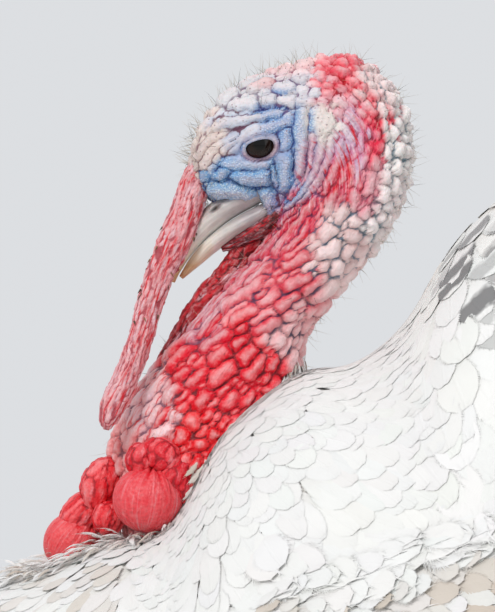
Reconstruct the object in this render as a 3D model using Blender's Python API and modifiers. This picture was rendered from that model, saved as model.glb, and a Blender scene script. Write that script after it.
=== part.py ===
"""A domestic turkey tom in display, life size: metres, +Z up, the bird faces -X, its plane of symmetry is y = 0.

The bird is laid out in its own side view first (x back, z up), then rounded out to each side by half widths.
The soft body is a set of lofts: trunk, neck and head share the same kind of section, neck and head one spine.
Everything hangs from one empty, which puts the origin under the middle of the whole bird.
"""

import math

import bmesh
import bpy
from mathutils import Matrix, Vector

# --- driving dimensions -----------------------------------------------------------------------------
GAP = 0.0004              # clearance between touching pieces
BOX_CENTRE_X = 0.0224     # middle of the bird's length, measured from the middle of its body
TRUNK_SIDES = 20
NECK_RINGS, HEAD_RINGS, NECK_SIDES = 13, 13, 16
EYE_RADIUS = 0.0075
EYE_CENTRE = (-0.0770, 0.0137, 0.6135)
LEG_Y = 0.078
HIP = Vector((0.020, LEG_Y + 0.010, 0.290))
HOCK = Vector((0.046, LEG_Y, 0.152))
FOOT = Vector((0.016, LEG_Y, 0.016))
TAIL_ROOT = Vector((0.232, 0.0, 0.432))
TAIL_LEAN = math.radians(9.0)
TAIL_FEATHERS, TAIL_LENGTH, TAIL_SPREAD = 18, 0.372, math.radians(93.0)
VANE_THICK = 0.0009       # one tail feather
VANE_STEP = 0.0014        # each tail feather lies this far behind the one it tucks under
FAN_CUP = 0.16            # metres forward for each square metre out to the side
WING_THICK = 0.0022
PRIMARIES, SECONDARIES = 8, 10

COLLECTION = bpy.data.collections.new("domestic_turkey")
CUTTERS = bpy.data.collections.new("cutters")


# --- small tools ------------------------------------------------------------------------------------
def clear_scene():
    for obj in list(bpy.data.objects):
        bpy.data.objects.remove(obj)
    bpy.context.scene.collection.children.link(COLLECTION)
    bpy.context.scene.collection.children.link(CUTTERS)
    CUTTERS.hide_render = True


def material(name, colour, roughness):
    made = bpy.data.materials.new(name)
    made.use_nodes = True
    shader = made.node_tree.nodes["Principled BSDF"]
    shader.inputs["Base Color"].default_value = (*colour, 1.0)
    shader.inputs["Roughness"].default_value = roughness
    shader.inputs["Metallic"].default_value = 0.0
    return made


def smooth(keys, t):
    """Row of values at t on a smooth curve through keys, each (t, value, value, ...)."""
    last = len(keys) - 1
    i = max([j for j in range(last) if keys[j][0] <= t] or [0])

    def slope(j, k):
        a, b = keys[max(j - 1, 0)], keys[min(j + 1, last)]
        return (b[k] - a[k]) / (b[0] - a[0])

    a, b = keys[i], keys[i + 1]
    span = b[0] - a[0]
    u = (t - a[0]) / span
    row = []
    for k in range(1, len(a)):
        row.append(
            (2 * u**3 - 3 * u**2 + 1) * a[k]
            + (u**3 - 2 * u**2 + u) * span * slope(i, k)
            + (3 * u**2 - 2 * u**3) * b[k]
            + (u**3 - u**2) * span * slope(i + 1, k)
        )
    return row


def spaced(low, high, count):
    return [low + (high - low) * i / (count - 1) for i in range(count)]


def add_object(name, mesh, finish):
    obj = bpy.data.objects.new(name, mesh)
    mesh.materials.clear()
    mesh.materials.append(finish)
    COLLECTION.objects.link(obj)
    obj.parent = BIRD
    return obj


def loft(name, rings, finish):
    """A closed skin over rings of points, with a flat cap on each end."""
    bm = bmesh.new()
    rows = [[bm.verts.new(p) for p in ring] for ring in rings]
    count = len(rows[0])
    for low, high in zip(rows, rows[1:]):
        for i in range(count):
            j = (i + 1) % count
            bm.faces.new((low[i], low[j], high[j], high[i]))
    bm.faces.new(rows[0][::-1])
    bm.faces.new(rows[-1])
    bmesh.ops.recalc_face_normals(bm, faces=bm.faces)
    mesh = bpy.data.meshes.new(name)
    bm.to_mesh(mesh)
    bm.free()
    mesh.shade_smooth()
    return add_object(name, mesh, finish)


def sheet(name, rows, thickness, finish):
    """A thin closed plate: a grid of points with Solidify, half its thickness to each side."""
    bm = bmesh.new()
    grid = [[bm.verts.new(p) for p in row] for row in rows]
    for low, high in zip(grid, grid[1:]):
        for i in range(len(low) - 1):
            bm.faces.new((low[i], low[i + 1], high[i + 1], high[i]))
    mesh = bpy.data.meshes.new(name)
    bm.to_mesh(mesh)
    bm.free()
    obj = add_object(name, mesh, finish)
    plate = obj.modifiers.new("plate", "SOLIDIFY")
    plate.thickness = thickness
    plate.offset = 0.0
    apply_modifiers(obj)
    return obj


def ball(name, centre, radii, tilt, finish, segments=12, rings=8):
    """An ellipsoid turned by tilt in the side view, about Y."""
    bm = bmesh.new()
    bmesh.ops.create_uvsphere(bm, u_segments=segments, v_segments=rings, radius=1.0)
    turn = Matrix.Rotation(tilt, 4, "Y") @ Matrix.Diagonal((*radii, 1.0))
    bm.transform(Matrix.Translation(centre) @ turn)
    mesh = bpy.data.meshes.new(name)
    bm.to_mesh(mesh)
    bm.free()
    mesh.shade_smooth()
    return add_object(name, mesh, finish)


def tube_rings(path, sides):
    """Rings round a path of (x, y, z, half width across, half depth), square to the path."""
    points = [Vector(p[:3]) for p in path]
    rings = []
    for i, (x, y, z, wide, deep) in enumerate(path):
        run = (points[min(i + 1, len(points) - 1)] - points[max(i - 1, 0)]).normalized()
        across = Vector((0, 1, 0)) - run * run.y
        across.normalize()
        out = run.cross(across)
        ring = []
        for k in range(sides):
            a = 2 * math.pi * k / sides
            ring.append(Vector((x, y, z)) + across * wide * math.cos(a) + out * deep * math.sin(a))
        rings.append(ring)
    return rings


def apply_modifiers(obj):
    graph = bpy.context.evaluated_depsgraph_get()
    graph.update()
    mesh = bpy.data.meshes.new_from_object(obj.evaluated_get(graph))
    obj.modifiers.clear()
    obj.data = mesh


def boolean(obj, other, operation):
    step = obj.modifiers.new(operation.lower(), "BOOLEAN")
    step.operation = operation
    step.solver = "EXACT"
    step.object = other
    apply_modifiers(obj)


def clear_of(obj, *neighbours):
    """Cuts obj back from each neighbour, leaving the gap between touching pieces."""
    for neighbour in neighbours:
        grown = neighbour.data.copy()
        moved = [v.co + v.normal * GAP for v in grown.vertices]
        for vertex, place in zip(grown.vertices, moved):
            vertex.co = place
        cutter = bpy.data.objects.new("cutter", grown)
        CUTTERS.objects.link(cutter)
        cutter.parent = BIRD
        boolean(obj, cutter, "DIFFERENCE")
        bpy.data.objects.remove(cutter)
    drop_offcuts(obj)


def drop_offcuts(obj):
    """Keeps the piece of a cut mesh that has the most faces."""
    bm = bmesh.new()
    bm.from_mesh(obj.data)
    left, pieces = set(bm.verts), []
    while left:
        piece, edge = set(), [left.pop()]
        while edge:
            vertex = edge.pop()
            piece.add(vertex)
            near = {e.other_vert(vertex) for e in vertex.link_edges} & left
            left -= near
            edge.extend(near)
        pieces.append(piece)
    pieces.sort(key=len)
    for piece in pieces[:-1]:
        bmesh.ops.delete(bm, geom=list(piece), context="VERTS")
    bm.to_mesh(obj.data)
    bm.free()


def join(obj, *others):
    """Makes others part of obj."""
    for other in others:
        boolean(obj, other, "UNION")
        bpy.data.objects.remove(other)


# --- trunk ------------------------------------------------------------------------------------------
# From breast to rump: x, top line, level of the greatest width, under line, half width.
TRUNK = (
    (-0.2480, 0.372, 0.355, 0.338, 0.018),
    (-0.2400, 0.400, 0.351, 0.303, 0.058),
    (-0.2250, 0.419, 0.348, 0.272, 0.086),
    (-0.2030, 0.433, 0.345, 0.249, 0.110),
    (-0.1750, 0.442, 0.343, 0.226, 0.132),
    (-0.1450, 0.448, 0.344, 0.208, 0.150),
    (-0.1180, 0.453, 0.347, 0.196, 0.162),
    (-0.1060, 0.470, 0.349, 0.192, 0.167),
    (-0.0960, 0.490, 0.351, 0.189, 0.171),
    (-0.0780, 0.508, 0.354, 0.185, 0.177),
    (-0.0590, 0.519, 0.358, 0.182, 0.182),
    (-0.0380, 0.522, 0.361, 0.180, 0.186),
    (-0.0160, 0.539, 0.364, 0.178, 0.189),
    (0.0000, 0.567, 0.367, 0.178, 0.191),
    (0.0180, 0.588, 0.369, 0.179, 0.192),
    (0.0450, 0.606, 0.371, 0.182, 0.193),
    (0.0800, 0.619, 0.374, 0.189, 0.190),
    (0.1150, 0.625, 0.379, 0.200, 0.182),
    (0.1500, 0.621, 0.388, 0.220, 0.166),
    (0.1800, 0.607, 0.401, 0.249, 0.143),
    (0.2060, 0.580, 0.414, 0.288, 0.111),
    (0.2260, 0.536, 0.425, 0.342, 0.071),
    (0.2370, 0.484, 0.430, 0.392, 0.034),
)
RIDGE_PINCH = 0.16        # the raised back narrows towards its top line by this share
FLANK_FULLNESS = 0.86     # under 1 makes a section squarer than an ellipse


def trunk_point(x, angle):
    """A point on the trunk's skin: angle 0 is the top line, a half turn the under line."""
    top, middle, under, half = smooth(TRUNK, x)
    up, side = math.cos(angle), math.sin(angle)
    height = (top - middle if up > 0 else middle - under) * up
    width = half * abs(side) ** FLANK_FULLNESS * (1 - RIDGE_PINCH * max(up, 0.0))
    return Vector((x, math.copysign(width, side), middle + height))


def trunk_side(x, z):
    """Half width of the trunk at this place in the side view, 0 above or below it."""
    top, middle, under, half = smooth(TRUNK, min(max(x, TRUNK[0][0]), TRUNK[-1][0]))
    up = (z - middle) / ((top - middle) if z > middle else (middle - under))
    if abs(up) >= 1:
        return 0.0
    side = math.sqrt(1 - up * up)
    return half * side**FLANK_FULLNESS * (1 - RIDGE_PINCH * max(up, 0.0))


def make_trunk():
    turns = [2 * math.pi * k / TRUNK_SIDES for k in range(TRUNK_SIDES)]
    rings = [[trunk_point(station[0], turn) for turn in turns] for station in TRUNK]
    return loft("trunk", rings, WHITE_FEATHER)


# --- neck and head ----------------------------------------------------------------------------------
# One spine from the breast, up the neck and over the crown to the forehead. Each station is a cut
# from the throat side (x, z) to the nape side (x, z), with its half width.
SPINE = (
    (0, -0.1350, 0.4550, -0.0850, 0.4520, 0.0290),
    (1, -0.1410, 0.4790, -0.0745, 0.4770, 0.0285),
    (2, -0.1370, 0.4975, -0.0665, 0.4985, 0.0270),
    (3, -0.1245, 0.5170, -0.0608, 0.5175, 0.0252),
    (4, -0.1095, 0.5350, -0.0575, 0.5325, 0.0236),
    (5, -0.0980, 0.5490, -0.0492, 0.5455, 0.0226),
    (6, -0.0845, 0.5630, -0.0338, 0.5640, 0.0222),
    (7, -0.0760, 0.5735, -0.0212, 0.5815, 0.0222),
    (8, -0.0734, 0.5800, -0.0146, 0.5990, 0.0222),
    (9, -0.0742, 0.5846, -0.0140, 0.6180, 0.0221),
    (10, -0.0768, 0.5880, -0.0200, 0.6362, 0.0218),
    (11, -0.0801, 0.5889, -0.0338, 0.6485, 0.0214),
    (12, -0.0831, 0.5885, -0.0493, 0.6508, 0.0208),
    (13, -0.0865, 0.5880, -0.0661, 0.6465, 0.0201),
    (14, -0.0902, 0.5876, -0.0815, 0.6408, 0.0190),
    (15, -0.0940, 0.5876, -0.0942, 0.6322, 0.0170),
    (16, -0.0974, 0.5885, -0.1028, 0.6200, 0.0138),
    (17, -0.0999, 0.5906, -0.1062, 0.6092, 0.0100),
    (18, -0.1018, 0.5945, -0.1064, 0.6030, 0.0050),
)
NECK_ENDS = 7.5           # the station where the neck becomes the head
THROAT_TAPER = 0.16       # a section is narrower at the throat than at the nape
FACE_TAPER = 0.06         # and nearly even across the face


def spine_ring(t, push=0.0):
    """One section of neck or head; push moves it up along the spine."""
    throat_x, throat_z, nape_x, nape_z, half = smooth(SPINE, t)
    throat, nape = Vector((throat_x, 0, throat_z)), Vector((nape_x, 0, nape_z))
    across, centre = (nape - throat) / 2, (nape + throat) / 2
    onward = Vector((-across.z, 0, across.x)).normalized() * push
    taper = THROAT_TAPER if t < NECK_ENDS + 1 else FACE_TAPER
    ring = []
    for k in range(NECK_SIDES):
        a = 2 * math.pi * k / NECK_SIDES
        side = Vector((0, half * math.sin(a) * (1 + taper * math.cos(a)), 0))
        ring.append(centre + onward + across * math.cos(a) + side)
    return ring


def make_neck():
    return loft("neck", [spine_ring(t) for t in spaced(SPINE[0][0], NECK_ENDS, NECK_RINGS)], RED_SKIN)


def make_head():
    stations = spaced(NECK_ENDS, SPINE[-1][0], HEAD_RINGS)
    rings = [spine_ring(stations[0], GAP)] + [spine_ring(t) for t in stations[1:]]
    return loft("head", rings, BLUE_SKIN)


def make_eye(name, side):
    centre = Vector((EYE_CENTRE[0], side * EYE_CENTRE[1], EYE_CENTRE[2]))
    return ball(name, centre, (EYE_RADIUS,) * 3, 0.0, EYE_BROWN)


# --- bill, snood and wattles --------------------------------------------------------------------------
# x, z, half width, half depth along the middle of each half of the bill, base to tip.
UPPER_BILL = (
    (0, -0.0815, 0.5925, 0.0094, 0.0052),
    (1, -0.0915, 0.5868, 0.0092, 0.0052),
    (2, -0.1010, 0.5790, 0.0078, 0.0048),
    (3, -0.1080, 0.5705, 0.0056, 0.0040),
    (4, -0.1122, 0.5620, 0.0034, 0.0028),
    (5, -0.1134, 0.5560, 0.0012, 0.0012),
)
LOWER_BILL = (
    (0, -0.0790, 0.5835, 0.0082, 0.0036),
    (1, -0.0880, 0.5785, 0.0080, 0.0036),
    (2, -0.0964, 0.5725, 0.0066, 0.0033),
    (3, -0.1037, 0.5655, 0.0044, 0.0026),
    (4, -0.1100, 0.5580, 0.0018, 0.0012),
)
# x, y, z, half width, half depth: from the brow, past the left of the bill, to the hanging tip.
SNOOD = (
    (0, -0.0985, 0.0000, 0.6075, 0.0086, 0.0060),
    (1, -0.1035, -0.0010, 0.5980, 0.0084, 0.0066),
    (2, -0.1075, -0.0045, 0.5860, 0.0076, 0.0070),
    (3, -0.1128, -0.0100, 0.5720, 0.0060, 0.0072),
    (4, -0.1185, -0.0125, 0.5595, 0.0056, 0.0062),
    (5, -0.1232, -0.0145, 0.5455, 0.0054, 0.0055),
    (6, -0.1268, -0.0170, 0.5320, 0.0054, 0.0054),
    (7, -0.1318, -0.0200, 0.5180, 0.0054, 0.0054),
    (8, -0.1370, -0.0230, 0.5070, 0.0054, 0.0056),
    (9, -0.1400, -0.0250, 0.4985, 0.0044, 0.0042),
    (10, -0.1408, -0.0254, 0.4943, 0.0018, 0.0016),
)
# The fold of loose red skin under the throat: x, z of its middle, half thickness, half depth.
DEWLAP = (
    (0, -0.0765, 0.5800, 0.0032, 0.0050),
    (1, -0.0830, 0.5695, 0.0034, 0.0056),
    (2, -0.0900, 0.5590, 0.0036, 0.0056),
    (3, -0.0985, 0.5505, 0.0036, 0.0052),
    (4, -0.1052, 0.5425, 0.0034, 0.0042),
    (5, -0.1108, 0.5340, 0.0032, 0.0034),
    (6, -0.1160, 0.5260, 0.0028, 0.0028),
    (7, -0.1200, 0.5200, 0.0016, 0.0016),
)


def make_bill(name, line, finish):
    path = []
    for t in spaced(0, line[-1][0], 8):
        x, z, wide, deep = smooth(line, t)
        path.append((x, 0.0, z, wide, deep))
    return loft(name, tube_rings(path, 10), finish)


def make_snood():
    path = [tuple(smooth(SNOOD, t)) for t in spaced(0, SNOOD[-1][0], 12)]
    return loft("snood", tube_rings(path, 8), RED_SKIN)


def make_dewlap():
    path = []
    for t in spaced(0, DEWLAP[-1][0], 10):
        x, z, thick, deep = smooth(DEWLAP, t)
        path.append((x, 0.0, z, thick, deep))
    return loft("dewlap", tube_rings(path, 8), RED_SKIN)


# Each swollen caruncle is a ball with a smaller fold above it: centre, radii along x, y, z, tilt.
CARUNCLES = {
    "left": (((-0.1235, -0.0270, 0.4655), (0.0146, 0.0130, 0.0134), 0.2),
             ((-0.1165, -0.0240, 0.4805), (0.0110, 0.0095, 0.0088), 0.5)),
    "right": (((-0.1240, 0.0275, 0.4665), (0.0140, 0.0122, 0.0130), 0.1),
              ((-0.1174, 0.0236, 0.4806), (0.0106, 0.0094, 0.0086), 0.4)),
    "front": (((-0.1560, 0.0000, 0.4500), (0.0112, 0.0125, 0.0188), 0.62),
              ((-0.1440, -0.0050, 0.4705), (0.0094, 0.0108, 0.0130), 0.45)),
}


def make_caruncle(word):
    (centre, radii, tilt), fold = CARUNCLES[word]
    made = ball(f"caruncle_{word}", centre, radii, tilt, RED_SKIN)
    join(made, ball("fold", *fold, RED_SKIN, 10, 6))
    return made


def make_beard():
    """The tuft of long black bristles that hangs from a tom's breast."""
    path = []
    for t in spaced(0.0, 1.0, 7):
        x = -0.2400 - 0.012 * math.sin(math.pi * min(t * 1.3, 1.0)) + 0.004 * t
        width = 0.0065 + 0.0035 * math.sin(math.pi * min(t + 0.15, 1.0))
        path.append((x, 0.0, 0.378 - 0.190 * t, width, 0.62 * width))
    return loft("beard", tube_rings(path, 6), BRISTLE)


# --- wings -------------------------------------------------------------------------------------------
PAD_CENTRE, PAD_RADII, PAD_TURN = (0.010, 0.368), (0.150, 0.094), math.radians(-12)
PAD_THICK, PAD_RIM = 0.018, 0.0045
PAD_BURIED = 0.004        # how far the pad is first made to reach into the flank that then cuts it
PRIMARY_SHARE = 0.40      # how much of the spread wing's edge the primaries take
# Where the flight feathers end, from the foremost primary to the innermost secondary: x, y, z.
WING_TIPS = (
    (0.00, -0.012, 0.196, 0.014),
    (0.20, 0.048, 0.204, 0.020),
    (0.40, 0.106, 0.208, 0.058),
    (0.60, 0.166, 0.206, 0.124),
    (0.80, 0.216, 0.190, 0.206),
    (1.00, 0.246, 0.160, 0.310),
)


def pad_place(angle, share):
    """A place in the side view on the ellipse of the wing's covert pad."""
    x, z = PAD_RADII[0] * math.cos(angle) * share, PAD_RADII[1] * math.sin(angle) * share
    c, s = math.cos(PAD_TURN), math.sin(PAD_TURN)
    return PAD_CENTRE[0] + c * x + s * z, PAD_CENTRE[1] - s * x + c * z


def make_wing_pad(name, side):
    """Shoulder, arm and their coverts: a lens of feathers lying on the flank."""
    rings, count = [], 18
    shares = (0.16, 0.5, 0.78, 0.96)
    for share, outer in [(s, True) for s in shares] + [(s, False) for s in shares[::-1]]:
        ring = []
        for k in range(count):
            x, z = pad_place(2 * math.pi * k / count, share)
            lens = PAD_RIM + PAD_THICK * (1 - share**2) ** 0.7
            off = lens if outer else -PAD_BURIED
            ring.append(Vector((x, side * (trunk_side(x, z) + off), z)))
        rings.append(ring)
    return loft(name, rings, WHITE_FEATHER)


def wing_point(u, v, lift):
    """u runs along the wing from its foremost primary, v from root to tip of each feather."""
    angle = math.radians(205 + 148 * u)
    x0, z0 = pad_place(angle, 0.80)
    x1, y1, z1 = smooth(WING_TIPS, u)
    x, z = x0 + (x1 - x0) * v, z0 + (z1 - z0) * v
    hang = y1 - (1 - v) * 0.030
    y = max(trunk_side(x, z) + 0.0035, hang) + lift
    return Vector((x, y, z))


def make_flight_feathers(name, side, low, high, count):
    """A row of flight feathers as one plate: each vane steps over the next and ends in a round tip."""
    columns = []
    for i in range(count):
        for across, lift, tip in ((0.02, 0.0010, 0.955), (0.5, 0.0016, 1.0), (0.98, 0.0, 0.955)):
            u = low + (high - low) * (i + across) / count
            columns.append([wing_point(u, v * tip, lift) for v in (0.0, 0.4, 0.8, 1.0)])
    rows = [[Vector((p.x, side * p.y, p.z)) for p in column] for column in columns]
    return sheet(name, rows, WING_THICK, WHITE_FEATHER)


# --- tail --------------------------------------------------------------------------------------------
# Half width of a tail feather along its length.
VANE_WIDTH = ((0.0, 0.0050), (0.35, 0.0170), (0.70, 0.0335), (0.90, 0.0395), (0.97, 0.0350), (1.0, 0.0250))
TIP_CROWN = 0.0085        # how far the middle of a tail feather's end stands past its corners


def fan_frame(angle):
    """Outward and sideways directions in the raised fan at this angle from upright."""
    up = Vector((math.sin(TAIL_LEAN), 0, math.cos(TAIL_LEAN)))
    outward = up * math.cos(angle) + Vector((0, 1, 0)) * math.sin(angle)
    sideways = Vector((0, 1, 0)) * math.cos(angle) - up * math.sin(angle)
    return outward, sideways, up.cross(Vector((0, 1, 0))) * -1


def cupped(place, back):
    """The whole fan is a shallow cup, open towards the head."""
    return place - back * FAN_CUP * place.y**2


def make_tail_feather(index):
    """Feathers are numbered from the left edge of the fan to the right, the middle pair foremost."""
    angle = TAIL_SPREAD * (2 * index / (TAIL_FEATHERS - 1) - 1)
    outward, sideways, back = fan_frame(angle)
    from_middle = abs(index - (TAIL_FEATHERS - 1) / 2)
    depth = VANE_STEP * (2 * from_middle + (0 if angle < 0 else 1))
    rows = []
    for v, half in VANE_WIDTH:
        reach = 0.022 + TAIL_LENGTH * v
        middle = TAIL_ROOT + outward * reach + back * depth
        crown = outward * (TIP_CROWN if v == 1.0 else 0.0)
        row = (middle - sideways * half, middle + crown, middle + sideways * half)
        rows.append([cupped(place, back) for place in row])
    return sheet(f"tail_feather_{index + 1:02d}", rows, VANE_THICK, WHITE_FEATHER)


def make_tail_coverts(name, back_side, radius, spread, thick):
    """A half disc of overlapping coverts, thick at the tail's root and thin at its scalloped edge."""
    steps, tips = 5, 9
    depth_last = VANE_STEP * TAIL_FEATHERS
    start = depth_last + 0.0012 if back_side else -0.0012
    way = 1 if back_side else -1
    angles = [spread * (2 * i / (2 * tips) - 1) for i in range(2 * tips + 1)]
    near, far = [], []
    for i in range(steps):
        share = i / (steps - 1)
        body = thick * (1 - share) ** 0.8 + 0.0012
        for side, line in ((0.0, near), (body, far)):
            row = []
            for k, angle in enumerate(angles):
                outward, _, back = fan_frame(angle)
                reach = 0.012 + (radius * (0.94 + 0.06 * (k % 2)) - 0.012) * share
                place = TAIL_ROOT + outward * reach + back * (start + way * side)
                row.append(cupped(place, back))
            line.append(row)
    rings = []
    for k in range(len(angles)):
        rings.append([near[i][k] for i in range(steps)] + [far[i][k] for i in reversed(range(steps))])
    return loft(name, rings, WHITE_FEATHER)


# --- legs --------------------------------------------------------------------------------------------
# Each toe: turn from straight ahead in degrees, length, thickness at its root.
TOES = (("middle", 0, 0.078, 0.0072), ("inner", 31, 0.058, 0.0066), ("outer", -33, 0.060, 0.0066),
        ("hind", 180, 0.026, 0.0056))
CLAW_LENGTH = 0.017


def make_thigh(name, side):
    low = HOCK - Vector((0.002, 0.0, 0.004))
    path = []
    for share, wide in ((0.0, 0.060), (0.25, 0.056), (0.5, 0.043), (0.72, 0.028), (0.9, 0.0175), (1.0, 0.0135)):
        p = HIP.lerp(low, share)
        path.append((p.x, side * p.y, p.z, wide * 0.86, wide * 1.05))
    return loft(name, tube_rings(path, 12), WHITE_FEATHER)


def make_shank(name, side):
    path = []
    for share, wide in ((0.0, 0.0110), (0.2, 0.0090), (0.55, 0.0078), (0.85, 0.0086), (1.0, 0.0090)):
        p = HOCK.lerp(FOOT, share)
        path.append((p.x, side * p.y, p.z, wide * 0.88, wide))
    return loft(name, tube_rings(path, 10), SCALED_LEG)


def toe_line(side, turn, length):
    """Points of a toe's middle line from the foot's pad to the root of its claw."""
    a = math.radians(turn) * side
    run = Vector((-math.cos(a), -math.sin(a) * side * side, 0))
    start = Vector((FOOT.x, side * FOOT.y, 0))
    return [start + run * length * share for share in (0.0, 0.4, 0.75, 1.0)]


def make_foot(name, side):
    """Pad and toes in one piece, standing on small flats at one level."""
    pad = ball(name, (FOOT.x, side * FOOT.y, 0.0105), (0.0135, 0.0125, 0.0110), 0.0, SCALED_LEG, 10, 6)
    for _, turn, length, thick in TOES:
        path = []
        for i, p in enumerate(toe_line(side, turn, length)):
            swell = thick * (1.0, 0.94, 0.82, 0.66)[i]
            path.append((p.x, p.y, swell * 0.93, swell, swell))
        join(pad, loft("toe", level_rings(path, 8), SCALED_LEG))
    sole = pad.data
    for vertex in sole.vertices:
        vertex.co.z = max(vertex.co.z, 0.0)
    return pad


def level_rings(path, sides):
    """Rings of a toe or claw that lies along the floor, square to its run, flattened under it."""
    points = [Vector(p[:3]) for p in path]
    rings = []
    for i, (x, y, z, wide, deep) in enumerate(path):
        run = (points[min(i + 1, len(points) - 1)] - points[max(i - 1, 0)]).normalized()
        across = run.cross(Vector((0, 0, 1))).normalized()
        up = across.cross(run)
        ring = []
        for k in range(sides):
            a = 2 * math.pi * (k + 0.5) / sides
            height = deep * math.sin(a)
            place = Vector((x, y, z)) + across * wide * math.cos(a) + up * height
            place.z = max(place.z, 0.0)
            ring.append(place)
        rings.append(ring)
    return rings


def make_claw(name, side, turn, length, thick):
    line = toe_line(side, turn, length)
    run = (line[-1] - line[0]).normalized()
    path = []
    for share, wide, drop in ((-0.25, 0.56, 0.86), (0.25, 0.52, 0.88), (0.6, 0.38, 0.76), (0.85, 0.22, 0.52),
                              (1.0, 0.10, 0.24)):
        p = line[-1] + run * CLAW_LENGTH * share
        path.append((p.x, p.y, thick * drop + 0.0006, thick * wide, thick * wide * 0.9))
    return loft(name, level_rings(path, 6), HORN)


def make_spur(name, side):
    root = HOCK.lerp(FOOT, 0.62)
    path = []
    for share, wide in ((-0.2, 0.0052), (0.3, 0.0046), (0.65, 0.0030), (1.0, 0.0008)):
        path.append((root.x + 0.022 * share, side * (root.y - 0.003 * share), root.z + 0.006 * share**2, wide, wide))
    return loft(name, tube_rings(path, 6), HORN)


# --- the bird ----------------------------------------------------------------------------------------
def make_head_and_neck(trunk):
    """Each piece is cut back while the pieces that cut it are still whole, so the neck comes first."""
    neck, head, snood, dewlap = make_neck(), make_head(), make_snood(), make_dewlap()
    upper = make_bill("bill_upper", UPPER_BILL, HORN)
    lower = make_bill("bill_lower", LOWER_BILL, HORN)
    left, right, drop = make_caruncle("left"), make_caruncle("right"), make_caruncle("front")
    clear_of(neck, trunk, left, right, drop, dewlap, snood, lower)
    clear_of(dewlap, head, lower, snood, left, right, drop)
    clear_of(snood, head, upper, lower)
    clear_of(drop, trunk, left, right)
    clear_of(left, trunk)
    clear_of(right, trunk)
    clear_of(lower, head, upper)
    clear_of(upper, head)
    clear_of(head, make_eye("eye_left", -1), make_eye("eye_right", 1))


def make_wing(side, word, trunk):
    pad = make_wing_pad(f"wing_{word}_coverts", side)
    clear_of(pad, trunk)
    split = PRIMARY_SHARE
    primaries = make_flight_feathers(f"wing_{word}_primaries", side, 0.0, split - 0.006, PRIMARIES)
    secondaries = make_flight_feathers(f"wing_{word}_secondaries", side, split, 1.0, SECONDARIES)
    clear_of(primaries, trunk, pad)
    clear_of(secondaries, trunk, pad)


def make_tail(trunk):
    upper = make_tail_coverts("tail_coverts_upper", False, 0.225, math.radians(96), 0.062)
    under = make_tail_coverts("tail_coverts_under", True, 0.150, math.radians(104), 0.040)
    clear_of(upper, trunk)
    clear_of(under, trunk)
    for index in range(TAIL_FEATHERS):
        clear_of(make_tail_feather(index), trunk)


def make_leg(side, word, trunk):
    thigh = make_thigh(f"thigh_{word}", side)
    shank = make_shank(f"shank_{word}", side)
    foot = make_foot(f"foot_{word}", side)
    clear_of(thigh, trunk)
    clear_of(shank, thigh, foot)
    spur = make_spur(f"spur_{word}", side)
    clear_of(spur, shank)
    for toe, turn, length, thick in TOES:
        claw = make_claw(f"claw_{word}_{toe}", side, turn, length, thick)
        clear_of(claw, foot)


clear_scene()
BIRD = bpy.data.objects.new("bird", None)
COLLECTION.objects.link(BIRD)
BIRD.location.x = -BOX_CENTRE_X
WHITE_FEATHER = material("white_feather", (0.86, 0.85, 0.83), 0.75)
RED_SKIN = material("red_skin", (0.66, 0.10, 0.10), 0.45)
BLUE_SKIN = material("blue_skin", (0.42, 0.56, 0.74), 0.50)
HORN = material("horn", (0.62, 0.53, 0.42), 0.40)
EYE_BROWN = material("eye_brown", (0.05, 0.03, 0.02), 0.08)
SCALED_LEG = material("scaled_leg", (0.62, 0.44, 0.40), 0.55)
BRISTLE = material("bristle", (0.03, 0.03, 0.03), 0.60)

TRUNK_OBJECT = make_trunk()
make_head_and_neck(TRUNK_OBJECT)
clear_of(make_beard(), TRUNK_OBJECT)
for SIDE, WORD in ((-1, "left"), (1, "right")):
    make_wing(SIDE, WORD, TRUNK_OBJECT)
    make_leg(SIDE, WORD, TRUNK_OBJECT)
make_tail(TRUNK_OBJECT)
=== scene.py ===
import math
from itertools import product

import bpy
import numpy as np
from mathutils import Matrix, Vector, noise
from mathutils.bvhtree import BVHTree
from mathutils.kdtree import KDTree


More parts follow.
